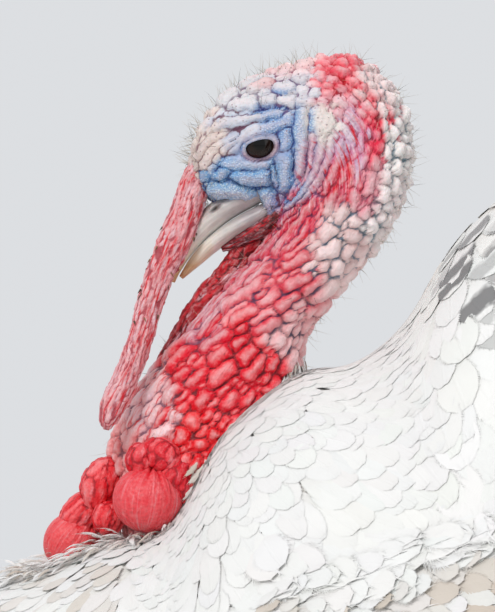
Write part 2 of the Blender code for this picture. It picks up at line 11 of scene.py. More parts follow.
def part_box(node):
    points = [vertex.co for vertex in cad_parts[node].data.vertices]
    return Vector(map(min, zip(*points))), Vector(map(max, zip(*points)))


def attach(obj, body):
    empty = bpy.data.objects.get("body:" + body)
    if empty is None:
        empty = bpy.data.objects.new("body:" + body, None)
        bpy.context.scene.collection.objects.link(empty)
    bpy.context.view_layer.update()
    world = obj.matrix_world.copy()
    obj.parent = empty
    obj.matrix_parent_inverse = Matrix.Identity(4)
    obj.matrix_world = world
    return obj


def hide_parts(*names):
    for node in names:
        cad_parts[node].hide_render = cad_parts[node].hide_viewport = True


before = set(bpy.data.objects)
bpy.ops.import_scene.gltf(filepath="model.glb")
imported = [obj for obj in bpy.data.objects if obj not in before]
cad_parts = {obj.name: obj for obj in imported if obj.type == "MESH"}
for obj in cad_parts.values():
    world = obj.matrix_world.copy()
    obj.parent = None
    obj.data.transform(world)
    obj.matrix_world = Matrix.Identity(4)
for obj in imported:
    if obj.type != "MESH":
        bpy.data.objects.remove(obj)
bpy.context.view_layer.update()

# --- the line of neck and head ------------------------------------------------
# A turkey's neck is a column of loose bare skin that runs on over the skull without a step. Each station
# is a cut from the throat side (x, z) to the nape side (x, z) with its half width, as in the solids.
SPINE = np.array((
    (-1.5, -0.1260, 0.4200, -0.0850, 0.4150, 0.0280),
    (0, -0.1350, 0.4550, -0.0850, 0.4520, 0.0290),
    (1, -0.1410, 0.4790, -0.0745, 0.4770, 0.0285),
    (2, -0.1370, 0.4975, -0.0665, 0.4985, 0.0270),
    (3, -0.1245, 0.5170, -0.0608, 0.5175, 0.0252),
    (4, -0.1095, 0.5350, -0.0575, 0.5325, 0.0236),
    (5, -0.0980, 0.5490, -0.0492, 0.5455, 0.0226),
    (6, -0.0845, 0.5630, -0.0338, 0.5640, 0.0222),
    (7, -0.0760, 0.5735, -0.0212, 0.5815, 0.0222),
    (8, -0.0734, 0.5800, -0.0146, 0.5990, 0.0222),
    (9, -0.0742, 0.5846, -0.0140, 0.6180, 0.0221),
    (10, -0.0768, 0.5880, -0.0200, 0.6362, 0.0218),
    (11, -0.0801, 0.5889, -0.0338, 0.6485, 0.0214),
    (12, -0.0831, 0.5885, -0.0493, 0.6508, 0.0208),
    (13, -0.0865, 0.5880, -0.0661, 0.6465, 0.0201),
    (14, -0.0902, 0.5876, -0.0815, 0.6408, 0.0190),
    (15, -0.0940, 0.5876, -0.0942, 0.6322, 0.0170),
    (16, -0.0974, 0.5885, -0.1028, 0.6200, 0.0138),
    (17, -0.0999, 0.5906, -0.1062, 0.6092, 0.0100),
    (18, -0.1018, 0.5945, -0.1064, 0.6030, 0.0050),
))
EYE = np.array((-0.0770, 0.0137, 0.6135))   # the right eye's middle; the left one is its mirror image
eye_low, eye_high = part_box("eye_left")
BIRD_TO_FRAME = np.array(((eye_low[0] + eye_high[0]) / 2 - EYE[0], 0.0, 0.0))
MILLI = 0.001


def curve_through(keys, t):
    """Values at t on a smooth curve through keys, one row (t, value, value, ...) for each station."""
    keys, t = np.asarray(keys, float), np.atleast_1d(np.asarray(t, float))
    last = len(keys) - 1
    before, after = np.maximum(np.arange(last + 1) - 1, 0), np.minimum(np.arange(last + 1) + 1, last)
    slope = (keys[after] - keys[before])[:, 1:] / (keys[after] - keys[before])[:, :1]
    i = np.clip(np.searchsorted(keys[:, 0], t, side="right") - 1, 0, last - 1)
    span = (keys[i + 1, 0] - keys[i, 0])[:, None]
    u = (t[:, None] - keys[i, :1]) / span
    return ((2 * u**3 - 3 * u**2 + 1) * keys[i, 1:] + (u**3 - 2 * u**2 + u) * span * slope[i]
            + (3 * u**2 - 2 * u**3) * keys[i + 1, 1:] + (u**3 - u**2) * span * slope[i + 1])


def neck_point(t, around, sink=0.0):
    """Points on neck or head: around 0 is the nape, a quarter turn the right side, a half turn the throat."""
    throat_x, throat_z, nape_x, nape_z, half = curve_through(SPINE, t).T
    across_x, across_z = (nape_x - throat_x) / 2, (nape_z - throat_z) / 2
    deep = np.hypot(across_x, across_z)
    shrink = 1 - sink / deep
    taper = np.interp(t, (7.5, 9.5), (0.16, 0.06))
    c, s = np.cos(around), np.sin(around)
    return np.stack(((nape_x + throat_x) / 2 + across_x * c * shrink,
                     (half - sink) * s * (1 + taper * c),
                     (nape_z + throat_z) / 2 + across_z * c * shrink), -1)


# --- the bare skin's regions --------------------------------------------------
# A displaying tom's skin is cream and pink in plump rolls on the crown, sky blue and finely stippled round
# the eye, and swells into red caruncles down the neck. One region runs into the next without a border.

# Millimetres back from the eye and above it, reach both ways, colour, creases' colour (the skin's own blue grey
# or red, darkened as painted shade), then the lumps' length, width and bulge in millimetres, how many degrees
# they lean to the nape, and how closely they are set.
REGIONS = {
    "forehead": (-25, 5, 7, 9, "f0e2dc", "a8868c", 8.0, 6.0, 2.0, 0, 1.0),
    "brow front": (-28, -7, 5, 6, "eadcd8", "9a747a", 7.0, 4.6, 1.5, 0, 0.8),
    "front crown": (-11, 22, 11, 7, "e8e6ea", "8c7a92", 11.0, 6.6, 2.3, 0, 1.0),
    "middle crown": (14, 23, 10, 7, "e6e4ec", "7c5c86", 7.6, 4.0, 1.9, 0, 1.0),
    "crown ridge": (8, 33, 13, 4, "f4d2d2", "b85a66", 7.0, 4.4, 2.1, 0, 1.0),
    "red crown": (35, 29, 8, 7, "f08a92", "d00c1e", 5.6, 4.0, 2.6, 8, 1.0),
    "behind brow": (34, 18, 8, 4, "eebcc4", "b01c34", 6.8, 3.4, 1.7, 0, 1.0),
    "rear crown": (51, 26, 7, 8, "f8e6e5", "94a6b0", 5.6, 4.8, 3.0, 0, 1.0),
    "red band": (47, 7, 4.6, 12, "ee6a76", "b80c20", 5.4, 3.2, 1.9, 8, 1.0),
    "back of head": (61, -1, 4, 15, "faf4f2", "809caa", 5.2, 4.8, 3.0, 0, 1.0),
    "upper nape": (56, -21, 6, 8, "faefee", "809caa", 6.2, 5.2, 3.0, 0, 1.0),
    "temple": (-15, 6, 5, 4, "ccd0e2", "6a3450", 6.0, 2.6, 0.8, 0, 0.0),
    "brow": (7, 10.5, 7, 3.6, "b6cbec", "3e4a94", 6.0, 3.0, 0.6, 0, 0.0),
    "brow roll": (-9, 10, 7, 3.2, "dadfec", "7c4462", 6.0, 3.0, 0.6, 0, 0.0),
    "lids": (1, -1, 8, 6, "a8b6d8", "5a4a6a", 3.0, 2.0, 0.4, 0, 0.0),
    "under eye": (-7, -11, 10, 5, "a9cdee", "35529c", 5.0, 3.0, 0.5, 0, 0.0),
    "pouch": (-11, -21, 9, 4.5, "c4dff2", "3c5ea6", 5.0, 3.0, 0.5, 0, 0.0),
    "lobe": (10, -12, 4, 10, "b4cdec", "37409a", 5.0, 3.0, 0.5, 0, 0.0),
    "pale fold": (16.6, 0, 4.0, 13, "c6daf0", "4666b0", 5.0, 3.0, 0.5, 0, 0.0),
    "ear": (26.8, 8, 4.8, 6.5, "f0e8e2", "c4aab0", 4.0, 4.0, 0.4, 0, 0.0),
    "under ear": (22, -9, 5, 8, "cba6b8", "6f5588", 16.0, 3.0, 1.1, -4, 1.0),
    "cheek": (37, 0, 8, 8, "d2b2cc", "b04464", 12.0, 2.4, 0.6, 4, 1.0),
    "red cheek": (36, -14, 9, 8, "e0828e", "a01c34", 14.0, 2.8, 1.0, 10, 1.0),
    "back cheek": (47, -20, 6, 8, "e296a2", "a05068", 9.0, 4.0, 1.5, 10, 1.0),
    "jaw folds": (14, -34, 9, 8, "e06c7a", "7c3a5c", 22.0, 4.0, 1.7, 4, 1.0),
    "mouth corner": (4, -26, 4, 5, "b8a4c2", "7a3348", 4.0, 2.0, 0.5, 0, 0.0),
    "upper throat": (-4, -48, 8, 10, "da8a96", "7c3c54", 20.0, 2.8, 1.2, 0, 1.0),
    "throat": (-24, -68, 7, 14, "e0aeb8", "8a5878", 20.0, 2.4, 0.9, 2, 1.0),
    "middle neck": (8, -57, 12, 11, "e98088", "6a4668", 13.0, 5.4, 2.4, 24, 1.0),
    "neck behind": (34, -44, 9, 12, "f6dedd", "7892a6", 8.0, 5.8, 2.7, 22, 1.0),
    "nape": (52, -36, 6, 10, "faf0ef", "7e9aa8", 6.6, 5.6, 3.0, 10, 1.0),
    "lower nape": (22, -76, 9, 10, "efc0c2", "55566e", 9.5, 5.6, 2.5, 22, 1.0),
    "lower neck": (-16, -96, 13, 14, "e6444e", "7c1424", 10.0, 5.0, 2.4, 24, 1.0),
    "neck foot": (-26, -121, 9, 9, "e4303a", "7c0c1c", 9.0, 5.4, 2.4, 24, 1.0),
    "lilac front": (-49, -107, 8, 11, "f2c8ca", "8c6276", 12.0, 4.2, 1.6, 14, 1.0),
    "front foot": (-59, -124, 7, 8, "eaa4a4", "a0606a", 8.0, 4.6, 1.7, 10, 1.0),
}
REGION_ROWS = np.array([row[:4] + row[6:] for row in REGIONS.values()])


def linear(code):
    """A colour's linear values from its sRGB hex code."""
    s = np.array([int(code[i:i + 2], 16) / 255 for i in (0, 2, 4)])
    return np.where(s <= 0.04045, s / 12.92, ((s + 0.055) / 1.055) ** 2.4)


REGION_COLOURS = np.array([linear(row[4]) for row in REGIONS.values()])
REGION_CREASE_TINTS_AND_SHADE = np.array([linear(row[5]) for row in REGIONS.values()])


def region_shares(points, edge=2.2):
    """How much of each region lies at each place, seen from the side; edge sharpens the borders."""
    back, up = (points[:, 0] - EYE[0]) / MILLI, (points[:, 2] - EYE[2]) / MILLI
    away = ((back[:, None] - REGION_ROWS[:, 0]) / REGION_ROWS[:, 2]) ** 2
    away += ((up[:, None] - REGION_ROWS[:, 1]) / REGION_ROWS[:, 3]) ** 2
    share = np.exp(-edge * (away - away.min(1, keepdims=True)))
    return share / share.sum(1, keepdims=True)


# --- caruncles and folds ------------------------------------------------------
# The skin's lumps are fatty swellings and folds that crowd each other until only a thin crease is left
# between them. Each is a line on the skin with a half width and a height, and every place on the skin
# belongs to the line it is nearest to.
SINK = 1.4 * MILLI        # the creases between the lumps lie this far inside the smooth outline
FOLD_STEPS = 15
rng = np.random.default_rng(4)
noise.seed_set(4)


def unit(v):
    """Vectors made one long."""
    return v / np.maximum(np.linalg.norm(v, axis=-1, keepdims=True), 1e-12)


def slopes(surface, t, around):
    """Places on a surface with its two tangents and its outward normal."""
    place = surface(t, around)
    along = (surface(t + 0.02, around) - surface(t - 0.02, around)) / 0.04
    turn = (surface(t, around + 0.02) - surface(t, around - 0.02)) / 0.04
    out = unit(np.cross(turn, along))
    out *= np.sign(((place - surface(t, around + math.pi)) * out).sum(1, keepdims=True) + 1e-12)
    return place, along, turn, out


def point_tree(points):
    """A tree that finds the points nearest to a place."""
    tree = KDTree(len(points))
    for i, p in enumerate(points):
        tree.insert(p, i)
    tree.balance()
    return tree


class Boxes:
    """Points sorted into boxes, so that a new one is only measured against those near it."""

    def __init__(self, size):
        self.size, self.held = size, {}

    def key(self, x, y, z):
        return int(x // self.size), int(y // self.size), int(z // self.size)

    def add(self, x, y, z, reach):
        self.held.setdefault(self.key(x, y, z), []).append((x, y, z, reach))

    def near(self, x, y, z):
        """How far off, squared, each point in the boxes round a place is, and its reach."""
        for key in product(*((k - 1, k, k + 1) for k in self.key(x, y, z))):
            for u, v, w, reach in self.held.get(key, ()):
                yield (x - u) ** 2 + (y - v) ** 2 + (z - w) ** 2, reach


class Folds:
    """Lines on a skin: their points, which line each belongs to, half widths, heights and tones."""

    def __init__(self):
        self.points, self.owners, self.halves, self.heights, self.tones = [], [], [], [], []
        self.boxes = Boxes(6 * MILLI)

    def crowded(self, line, half, closeness):
        """Whether a new line would lie too near one that is there already."""
        return any(off < (closeness * (half + other)) ** 2 for p in line for off, other in self.boxes.near(*p))

    def add(self, line, half, height, tone):
        for p in line:
            self.points.append(p)
            self.owners.append(len(self.heights))
            self.halves.append(half)
            self.boxes.add(*(float(v) for v in p), half)
        self.heights.append(height)
        self.tones.append(tone)

    def scatter(self, surface, low, high, sizes, tries, closeness, shrink):
        """Throws folds on a surface; sizes gives length, width, height, lean and density at each place."""
        t, around = rng.uniform(low, high, tries), rng.uniform(-math.pi, math.pi, tries)
        place, along, turn, _ = slopes(surface, t, around)
        size = sizes(place)
        scale = rng.uniform(0.75, 1.25, tries) * shrink
        length = size[:, 0] * scale * rng.uniform(0.7, 1.2, tries) * MILLI
        half = size[:, 1] * scale * MILLI / 2
        lean = np.radians(size[:, 3] + rng.normal(0, 11, tries))
        bend = rng.normal(0, 0.3, tries)
        s = np.linspace(-0.5, 0.5, FOLD_STEPS)[None]
        run = s * np.maximum(length - 2 * half, 0)[:, None]
        side = bend[:, None] * run**2 / np.maximum(length, MILLI)[:, None] * 2
        c, s = np.cos(lean)[:, None], np.sin(lean)[:, None]
        up = (run * c - side * s) / np.linalg.norm(along, axis=1)[:, None]
        over = (run * s + side * c) / np.linalg.norm(turn, axis=1)[:, None]
        over *= -np.sign(np.sin(around))[:, None]
        lines = surface((t[:, None] + up).ravel(), (around[:, None] + over).ravel())
        lines = lines.reshape(tries, FOLD_STEPS, 3)
        luck, tone = rng.random(tries), rng.normal(0, 1, tries)
        count = np.clip(np.ceil((length - 2 * half) / (0.8 * half)).astype(int) + 1, 1, FOLD_STEPS)
        for i in range(tries):
            if luck[i] > size[i, 4] or t[i] + up[i].max() > high + 0.2:
                continue
            line = lines[i, np.linspace(0, FOLD_STEPS - 1, count[i]).round().astype(int)]
            if not self.crowded(line.tolist(), float(half[i]), closeness):
                self.add(line, float(half[i]), size[i, 2] * scale[i] * MILLI, tone[i])

    def lay(self, points):
        """Height over the creases, nearness to a crease and tone at each point of the smooth skin."""
        tree = point_tree(self.points)
        owners, halves, marks = np.array(self.owners), np.array(self.halves), np.array(self.points)
        index = np.array([[i for _, i, _ in tree.find_n(p, 24)] for p in points.tolist()])
        away, own = np.full(index.shape, 1e3), np.arange(len(owners))
        for step in (1, -1):
            other = np.clip(own + step, 0, len(own) - 1)
            other = np.where(owners[other] == owners, other, own)
            start, run = marks[index], marks[other][index] - marks[index]
            reach = points[:, None] - start
            share = np.clip((reach * run).sum(2) / np.maximum((run**2).sum(2), 1e-12), 0, 1)
            away = np.minimum(away, np.linalg.norm(reach - run * share[..., None], axis=2))
        away /= halves[index]
        owner = owners[index]
        rows, best = np.arange(len(points)), away.argmin(1)
        first, mine = away[rows, best], owner[rows, best]
        second = np.where(owner == mine[:, None], 3.0, away).min(1)
        between = 2 * first / (first + second)
        edge = np.clip(np.maximum(between, first / 3.2), 0, 1)
        crown = (1 - np.clip(np.maximum(between, first / 1.6), 0, 1) ** 2.0) ** 0.6
        return np.array(self.heights)[mine] * crown, edge, np.array(self.tones)[mine]

# --- the face's own folds -----------------------------------------------------
# Round the eye the skin lies in a few fixed forms: lid and brow rolls, a pouch over the bill, lobes behind
# the eye and the long folds that hang from the ear. Each is a line of (millimetres back, millimetres up)
# from the eye, with its half width and its bulge in millimetres.
FACE_FOLDS = {
    "upper lid": (((-14.5, -2.0), (-8.0, 2.8), (-1.5, 6.6), (5.0, 8.2), (11.5, 10.0)), 2.7, 1.6),
    "brow": (((-19.0, 7.0), (-12.5, 10.0), (-4.5, 11.0), (2.5, 12.2), (8.0, 13.5)), 2.6, 1.7),
    "brow crease": (((-14.5, 13.6), (-6.0, 13.4), (2.5, 14.4), (10.0, 15.0)), 1.1, 0.7),
    "first crown roll": (((-10.0, 17.2), (-2.5, 17.4)), 3.2, 2.4),
    "second crown roll": (((0.5, 18.2), (5.5, 18.5)), 2.7, 2.1),
    "third crown roll": (((9.0, 18.5), (13.5, 18.2)), 2.4, 1.9),
    "fourth crown roll": (((16.5, 17.5), (21.0, 17.5)), 2.1, 1.6),
    "front crown swelling": (((-15.5, 19.0), (-11.5, 22.0)), 4.0, 2.9),
    "upper crown swelling": (((-2.5, 24.5), (3.0, 26.0)), 3.3, 2.4),
    "rear crown swelling": (((8.0, 24.0), (12.5, 24.5)), 2.8, 2.1),
    "forehead swelling": (((-25.5, 7.0), (-25.0, 11.0)), 3.2, 2.1),
    "upper forehead": (((-22.0, 13.5), (-19.0, 15.0)), 2.9, 2.0),
    "front of brow": (((-28.0, -1.0), (-27.0, 1.5)), 2.7, 1.8),
    "lower temple": (((-24.5, -9.0), (-19.5, -2.0), (-13.0, 1.8), (-9.5, 3.8)), 2.1, 1.3),
    "upper temple": (((-26.5, -5.0), (-22.0, 1.5), (-16.0, 5.0)), 2.2, 1.4),
    "under the eye": (((-14.5, -8.6), (-6.5, -8.8), (2.5, -8.8)), 2.6, 1.3),
    "front of pouch": (((-17.0, -14.0), (-14.5, -11.5)), 2.6, 1.5),
    "pouch": (((-7.0, -14.5), (0.5, -14.0)), 3.9, 2.0),
    "lower pouch": (((-17.5, -19.8), (-11.0, -19.5), (-5.5, -21.2)), 3.3, 2.4),
    "behind the eye": (((11.0, 5.0), (11.0, -0.5)), 2.4, 1.6),
    "lobe": (((11.5, -7.0), (10.5, -16.5)), 3.3, 2.6),
    "front of lobe": (((5.5, -10.0), (6.5, -17.0)), 1.4, 1.2),
    "pale fold": (((18.0, 13.0), (17.0, 4.5), (17.0, -3.0), (16.5, -11.5)), 2.8, 2.2),
    "ear": (((26.0, 9.5), (26.5, 9.0)), 5.9, 1.3),
    "first ear fold": (((22.0, 3.0), (21.0, -5.5), (18.0, -14.5), (12.5, -21.5)), 1.7, 1.3),
    "second ear fold": (((26.0, 1.5), (24.0, -9.0), (19.0, -18.5), (11.0, -27.0)), 2.0, 1.5),
    "third ear fold": (((29.5, 1.0), (28.0, -7.5), (22.5, -17.0), (14.0, -27.0), (7.5, -34.0)), 1.8, 1.3),
    "fourth ear fold": (((33.5, -0.5), (31.5, -9.5), (26.0, -19.0)), 1.7, 1.1),
    "mouth corner": (((2.0, -21.0), (4.5, -25.0), (3.5, -30.5)), 2.9, 2.6),
    "first jaw fold": (((15.5, -26.0), (7.5, -37.0), (-1.5, -46.5)), 2.6, 1.9),
    "second jaw fold": (((22.5, -23.0), (14.5, -33.5), (6.5, -43.5)), 2.3, 1.6),
}
# The deepest creases between those forms, as such lines.
DEEP_CREASES = (
    ((-14.0, 12.6), (-7.2, 13.2), (-2.7, 13.6), (2.4, 15.2), (7.5, 14.6), (11.4, 14.3), (15.3, 15.2),
     (19.8, 15.9)),
    ((-18.8, 4.6), (-12.4, 5.9), (-6.6, 7.2), (-2.7, 9.1), (4.3, 9.8)),
    ((-18.2, -10.8), (-14.3, -5.0), (-9.8, 0.6)),
    ((14.0, 4.6), (14.4, -1.8), (14.4, -9.5), (13.4, -15.9), (10.8, -21.1), (7.5, -26.2)),
    ((19.8, 4.6), (20.1, -3.1), (18.6, -12.1), (14.6, -19.0), (10.8, -24.8), (7.5, -29.6), (4.6, -35.0),
     (0.5, -40.0)),
    ((4.0, -12.5), (4.3, -15.9), (6.6, -20.6), (7.2, -26.0)),
    ((-20.1, -17.2), (-15.0, -14.9), (-9.8, -16.8), (-2.7, -19.6), (2.4, -17.9)),
    ((26.5, -12.1), (25.5, -18.5), (22.3, -26.9), (20.4, -34.6), (19.8, -41.0)),
    ((25.5, -19.2), (15.3, -27.6), (7.5, -35.4), (-1.5, -45.5)),
)
LID_OPENING = (5.9 * MILLI, 4.1 * MILLI)      # half width and half height of the gap between the lids
LID_TILT = math.radians(14)
LID_SHIFT = np.array((0.1, -1.2)) * MILLI     # the gap lies low on the eye, under the heavy upper lid
LID_REACH = 8.5 * MILLI                       # the lids lie on a ball this big about the eye
NECK_ROWS, NECK_COLUMNS = 490, 236
# How far up the neck, in metres, some of its stations are, so that the skin's rows are evenly apart.
TRAVEL = (0, 0.037, 0.064, 0.0855, 0.105, 0.1203, 0.1357, 0.16, 0.1816, 0.2003, 0.2195, 0.2379, 0.2536, 0.271,
          0.2874, 0.304, 0.313, 0.321)
TRAVEL_STATIONS = (-1.5, 0, 1, 2, 3, 4, 5, 6, 7, 8, 9, 10.5, 12, 13, 14, 15.4, 16.6, 18)


def lid_line(grow, count):
    """Points (back, up) that stand grow outside the gap between the lids, flat above and round below."""
    a = np.arange(count) * 2 * math.pi / count
    v = np.where(np.sin(a) > 0, 0.70 * np.abs(np.sin(a)) ** 0.75, 1.12 * np.sin(a))
    u, v = (LID_OPENING[0] + grow) * np.cos(a), LID_OPENING[1] * v + grow * np.sin(a)
    c, s = math.cos(LID_TILT), math.sin(LID_TILT)
    return np.stack((u * c - v * s, u * s + v * c), -1) + LID_SHIFT


def bare_neck(t, around):
    """Neck and head with the lids' swelling over each eye."""
    points = neck_point(t, around)
    for side in (-1, 1):
        away = points - EYE * (1, side, 1)
        far = np.linalg.norm(away, axis=1, keepdims=True)
        points = np.where(far < LID_REACH, points + away / np.maximum(far, 1e-9) * (LID_REACH - far), points)
    return points


def grid_of(t_rows, columns):
    """A surface's t and turn at each place of a grid, row by row."""
    t, around = np.meshgrid(t_rows, np.arange(columns) * 2 * math.pi / columns, indexing="ij")
    return t.ravel(), around.ravel()


def grid_faces(rows, columns, closed=True):
    """Quads between rows of points; closed joins each row's last point to its first."""
    i, j = np.meshgrid(np.arange(rows - 1), np.arange(columns if closed else columns - 1), indexing="ij")
    k = (j + 1) % columns
    quads = (i * columns + j, i * columns + k, (i + 1) * columns + k, (i + 1) * columns + j)
    return np.stack(quads, -1).reshape(-1, 4)


def capped(points, rows, columns):
    """Closes a grid of points with a fan at each end; returns points and triangles."""
    quads = grid_faces(rows, columns)
    ends = np.stack((points[:columns].mean(0), points[-columns:].mean(0)))
    n, j = len(points), np.arange(columns)
    k = (j + 1) % columns
    last = (rows - 1) * columns
    tris = (quads[:, [0, 1, 2]], quads[:, [0, 2, 3]], np.stack((np.full(columns, n), k, j), -1),
            np.stack((np.full(columns, n + 1), last + j, last + k), -1))
    return np.concatenate((points, ends)), np.concatenate(tris)


def lofted(surface, low, high, rows, columns):
    """A closed shape from a surface between two values of its t."""
    return capped(surface(*grid_of(np.linspace(low, high, rows), columns)), rows, columns)


def marks_along(line, count):
    """Evenly many marks on a smooth curve through a line of pairs."""
    keys = np.array([(i, *pair) for i, pair in enumerate(line)])
    return curve_through(keys, np.linspace(0, len(line) - 1, count))


def onto_face(marks, side):
    """Where marks in the side view lie on one side of the head."""
    hits = [outline.ray_cast(Vector((EYE[0] + x, side * 0.1, EYE[2] + z)), Vector((0, -side, 0)))[0]
            for x, z in marks]
    return [np.array(hit) for hit in hits if hit]


skin_t = np.interp(np.linspace(0, 1, NECK_ROWS), np.linspace(0, 1, 20),
                   np.interp(np.linspace(0, TRAVEL[-1], 20), TRAVEL, TRAVEL_STATIONS))
smooth_skin = bare_neck(*grid_of(skin_t, NECK_COLUMNS))
outline = BVHTree.FromPolygons(smooth_skin.tolist(), grid_faces(NECK_ROWS, NECK_COLUMNS).tolist())
neck_folds = Folds()
for side in (-1, 1):
    for line, half, bulge in FACE_FOLDS.values():
        length = np.hypot(*np.diff(line, axis=0).T).sum()
        marks = marks_along(line, max(2, int(length / (0.6 * half)) + 1)) * MILLI
        neck_folds.add(onto_face(marks, side), half * MILLI, 1.2 * bulge * MILLI, rng.normal(0, 0.6))
    ring = onto_face(lid_line(1.0 * MILLI, 40), side)
    neck_folds.add(ring + ring[:1], 1.15 * MILLI, 1.0 * MILLI, 0.0)
lumps = REGION_ROWS[:, 4:] * (1, 1, 1.25, 1, 1)
for tries, shrink in ((9000, 1.0), (6000, 0.66), (6000, 0.42)):
    neck_folds.scatter(bare_neck, -1.0, 17.6, lambda p: region_shares(p) @ lumps, tries, 0.82, shrink)
crease_tree = point_tree([(*mark, 0) for line in DEEP_CREASES for mark in marks_along(line, 120)])


LOWEST_CREASE = -50       # millimetres above the eye


def wavered(points):
    """Places moved a little at random, so that creases found from them run unevenly; still about the eyes."""
    shift = np.array([noise.noise_vector(p * 230) * 1.1 + noise.noise_vector(p * 620) * 0.4
                      for p in map(Vector, points)]) * MILLI
    far = np.linalg.norm(points * (1, 0, 1) + np.abs(points) * (0, 1, 0) - EYE * (1, 1, 1), axis=1)
    return points + shift * np.clip((far - 8.0 * MILLI) / (4 * MILLI), 0, 1)[:, None]


def skin_part(surface, t_rows, columns, folds, sink, region=None):
    """One closed piece of skin with its folds raised, and for each point: crease, tone, lie, region."""
    t, around = grid_of(t_rows, columns)
    smooth, along, _, out = slopes(surface, t, around)
    moved = wavered(smooth)
    height, edge, tone = folds.lay(moved)
    if region is None:
        seen = (moved - EYE) / MILLI
        off_crease = np.array([crease_tree.find((p[0], p[2], 0))[2] if p[2] > LOWEST_CREASE else 9.0
                               for p in seen.tolist()])
        height -= MILLI * (0.8 * np.exp(-(off_crease / 0.55) ** 2) + 0.5 * np.exp(-(off_crease / 1.5) ** 2))
        # The deep creases also take the creases' colour, darkened as painted shade.
        edge = np.maximum(edge, np.exp(-(off_crease / 0.75) ** 2))
    height += [MILLI * (0.40 * noise.noise(p * 420) + 0.20 * noise.noise(p * 900)) for p in map(Vector, smooth)]
    points, tris = capped(smooth + out * (height - sink)[:, None], len(t_rows), columns)
    run = np.linalg.norm(along, axis=1).reshape(len(t_rows), columns).mean(1)
    travel = np.concatenate(([0], np.cumsum((run[1:] + run[:-1]) / 2 * np.diff(t_rows))))
    nape, throat = surface(t_rows, 0 * t_rows), surface(t_rows, 0 * t_rows + math.pi)
    wide = 0.5 * np.linalg.norm(nape - throat, axis=1).mean()
    lie = np.stack((np.repeat(travel, columns), wide * np.sin(around), wide * np.cos(around)), -1)
    both = [np.concatenate((v, v[:1], v[-1:])) for v in (edge, tone, lie)]
    return points, tris, both[0], both[1], both[2], np.full(len(points), -1 if region is None else region)


neck_part = skin_part(bare_neck, skin_t, NECK_COLUMNS, neck_folds, SINK)
# --- snood, dewlap and the great caruncles ------------------------------------
# The snood is a fleshy finger that grows from the brow and hangs past the left of the bill; the dewlap is a
# thin fold of the throat, and balls of erectile skin hang at the neck's foot, gathered in fine folds.

# Each row of a line: t, x, y, z, half width across and half depth.
SNOOD = np.array((
    (0, -0.0985, 0.0000, 0.6075, 0.0086, 0.0060),
    (1, -0.1035, -0.0010, 0.5980, 0.0084, 0.0066),
    (2, -0.1075, -0.0045, 0.5860, 0.0076, 0.0070),
    (3, -0.1128, -0.0100, 0.5720, 0.0060, 0.0072),
    (4, -0.1185, -0.0125, 0.5595, 0.0056, 0.0062),
    (5, -0.1232, -0.0145, 0.5455, 0.0054, 0.0055),
    (6, -0.1268, -0.0170, 0.5320, 0.0054, 0.0054),
    (7, -0.1318, -0.0200, 0.5180, 0.0054, 0.0054),
    (8, -0.1370, -0.0230, 0.5070, 0.0054, 0.0056),
    (9, -0.1400, -0.0250, 0.4985, 0.0044, 0.0042),
    (10, -0.1408, -0.0254, 0.4943, 0.0018, 0.0016),
))
DEWLAP = np.array((
    (0, -0.0765, 0.0, 0.5800, 0.0032, 0.0050),
    (1, -0.0830, 0.0, 0.5695, 0.0034, 0.0056),
    (2, -0.0900, 0.0, 0.5590, 0.0036, 0.0056),
    (3, -0.0985, 0.0, 0.5505, 0.0036, 0.0052),
    (4, -0.1052, 0.0, 0.5425, 0.0034, 0.0042),
    (5, -0.1108, 0.0, 0.5340, 0.0032, 0.0034),
    (6, -0.1160, 0.0, 0.5260, 0.0028, 0.0028),
    (7, -0.1200, 0.0, 0.5200, 0.0016, 0.0016),
))
CHIN = np.array((
    (0, -0.0690, 0.0, 0.5850, 0.0090, 0.0060),
    (1, -0.0770, 0.0, 0.5785, 0.0078, 0.0052),
    (2, -0.0860, 0.0, 0.5735, 0.0060, 0.0034),
    (3, -0.0930, 0.0, 0.5700, 0.0030, 0.0014),
))
# Each ball's middle, radii along x, y and z, tilt, and its folds' length, width and height in millimetres.
BALLS = (
    ((-0.1235, -0.0268, 0.4655), (0.0146, 0.0132, 0.0136), 0.15, (34, 1.8, 0.30)),
    ((-0.1130, -0.0240, 0.4725), (0.0098, 0.0095, 0.0126), 0.3, (15, 4.0, 0.55)),
    ((-0.1175, -0.0250, 0.4835), (0.0092, 0.0088, 0.0072), 0.7, (15, 4.6, 0.6)),
    ((-0.1262, -0.0240, 0.4822), (0.0066, 0.0070, 0.0072), 0.3, (13, 4.0, 0.55)),
    ((-0.1240, 0.0272, 0.4665), (0.0138, 0.0124, 0.0130), 0.1, (34, 1.8, 0.30)),
    ((-0.1174, 0.0236, 0.4806), (0.0106, 0.0094, 0.0086), 0.4, (14, 4.6, 0.6)),
    ((-0.1556, 0.0000, 0.4472), (0.0118, 0.0125, 0.0128), 0.62, (34, 1.8, 0.28)),
    ((-0.1518, -0.0010, 0.4588), (0.0080, 0.0098, 0.0120), 0.70, (26, 2.4, 0.45)),
    ((-0.1428, -0.0055, 0.4712), (0.0092, 0.0106, 0.0122), 0.35, (17, 4.6, 0.6)),
    ((-0.1398, -0.0120, 0.4575), (0.0072, 0.0082, 0.0076), 0.3, (12, 4.0, 0.5)),
)
# Each kind's colour and its creases' colour: partly their own, darkened as painted shade.
WATTLE_COLOURS = {
    "snood": ("e8a4a8", "b84450"), "dewlap": ("b8353c", "5e1218"), "ball": ("f0404a", "ac1422"),
    "pendant": ("f4464c", "b01622"), "chin": ("7c3a40", "3c1418"), "body": ("efe4dc", "c08e84"),
    "leg": ("d6aca2", "85584f"),
}


def round_line(line, t, c, s, step=0.05):
    """Places round a line at t: c of its half width across and s of its half depth away from it."""
    row = curve_through(line, t)
    run = unit(curve_through(line, t + step)[:, :3] - curve_through(line, t - step)[:, :3])
    across = unit(np.array((0, 1.0, 0)) - run * run[:, 1:2])
    return row[:, :3] + across * (row[:, 3] * c)[:, None] + np.cross(run, across) * (row[:, 4] * s)[:, None]


def tube_surface(line):
    """A round surface along a line."""
    return lambda t, around: round_line(line, t, np.cos(around), np.sin(around))


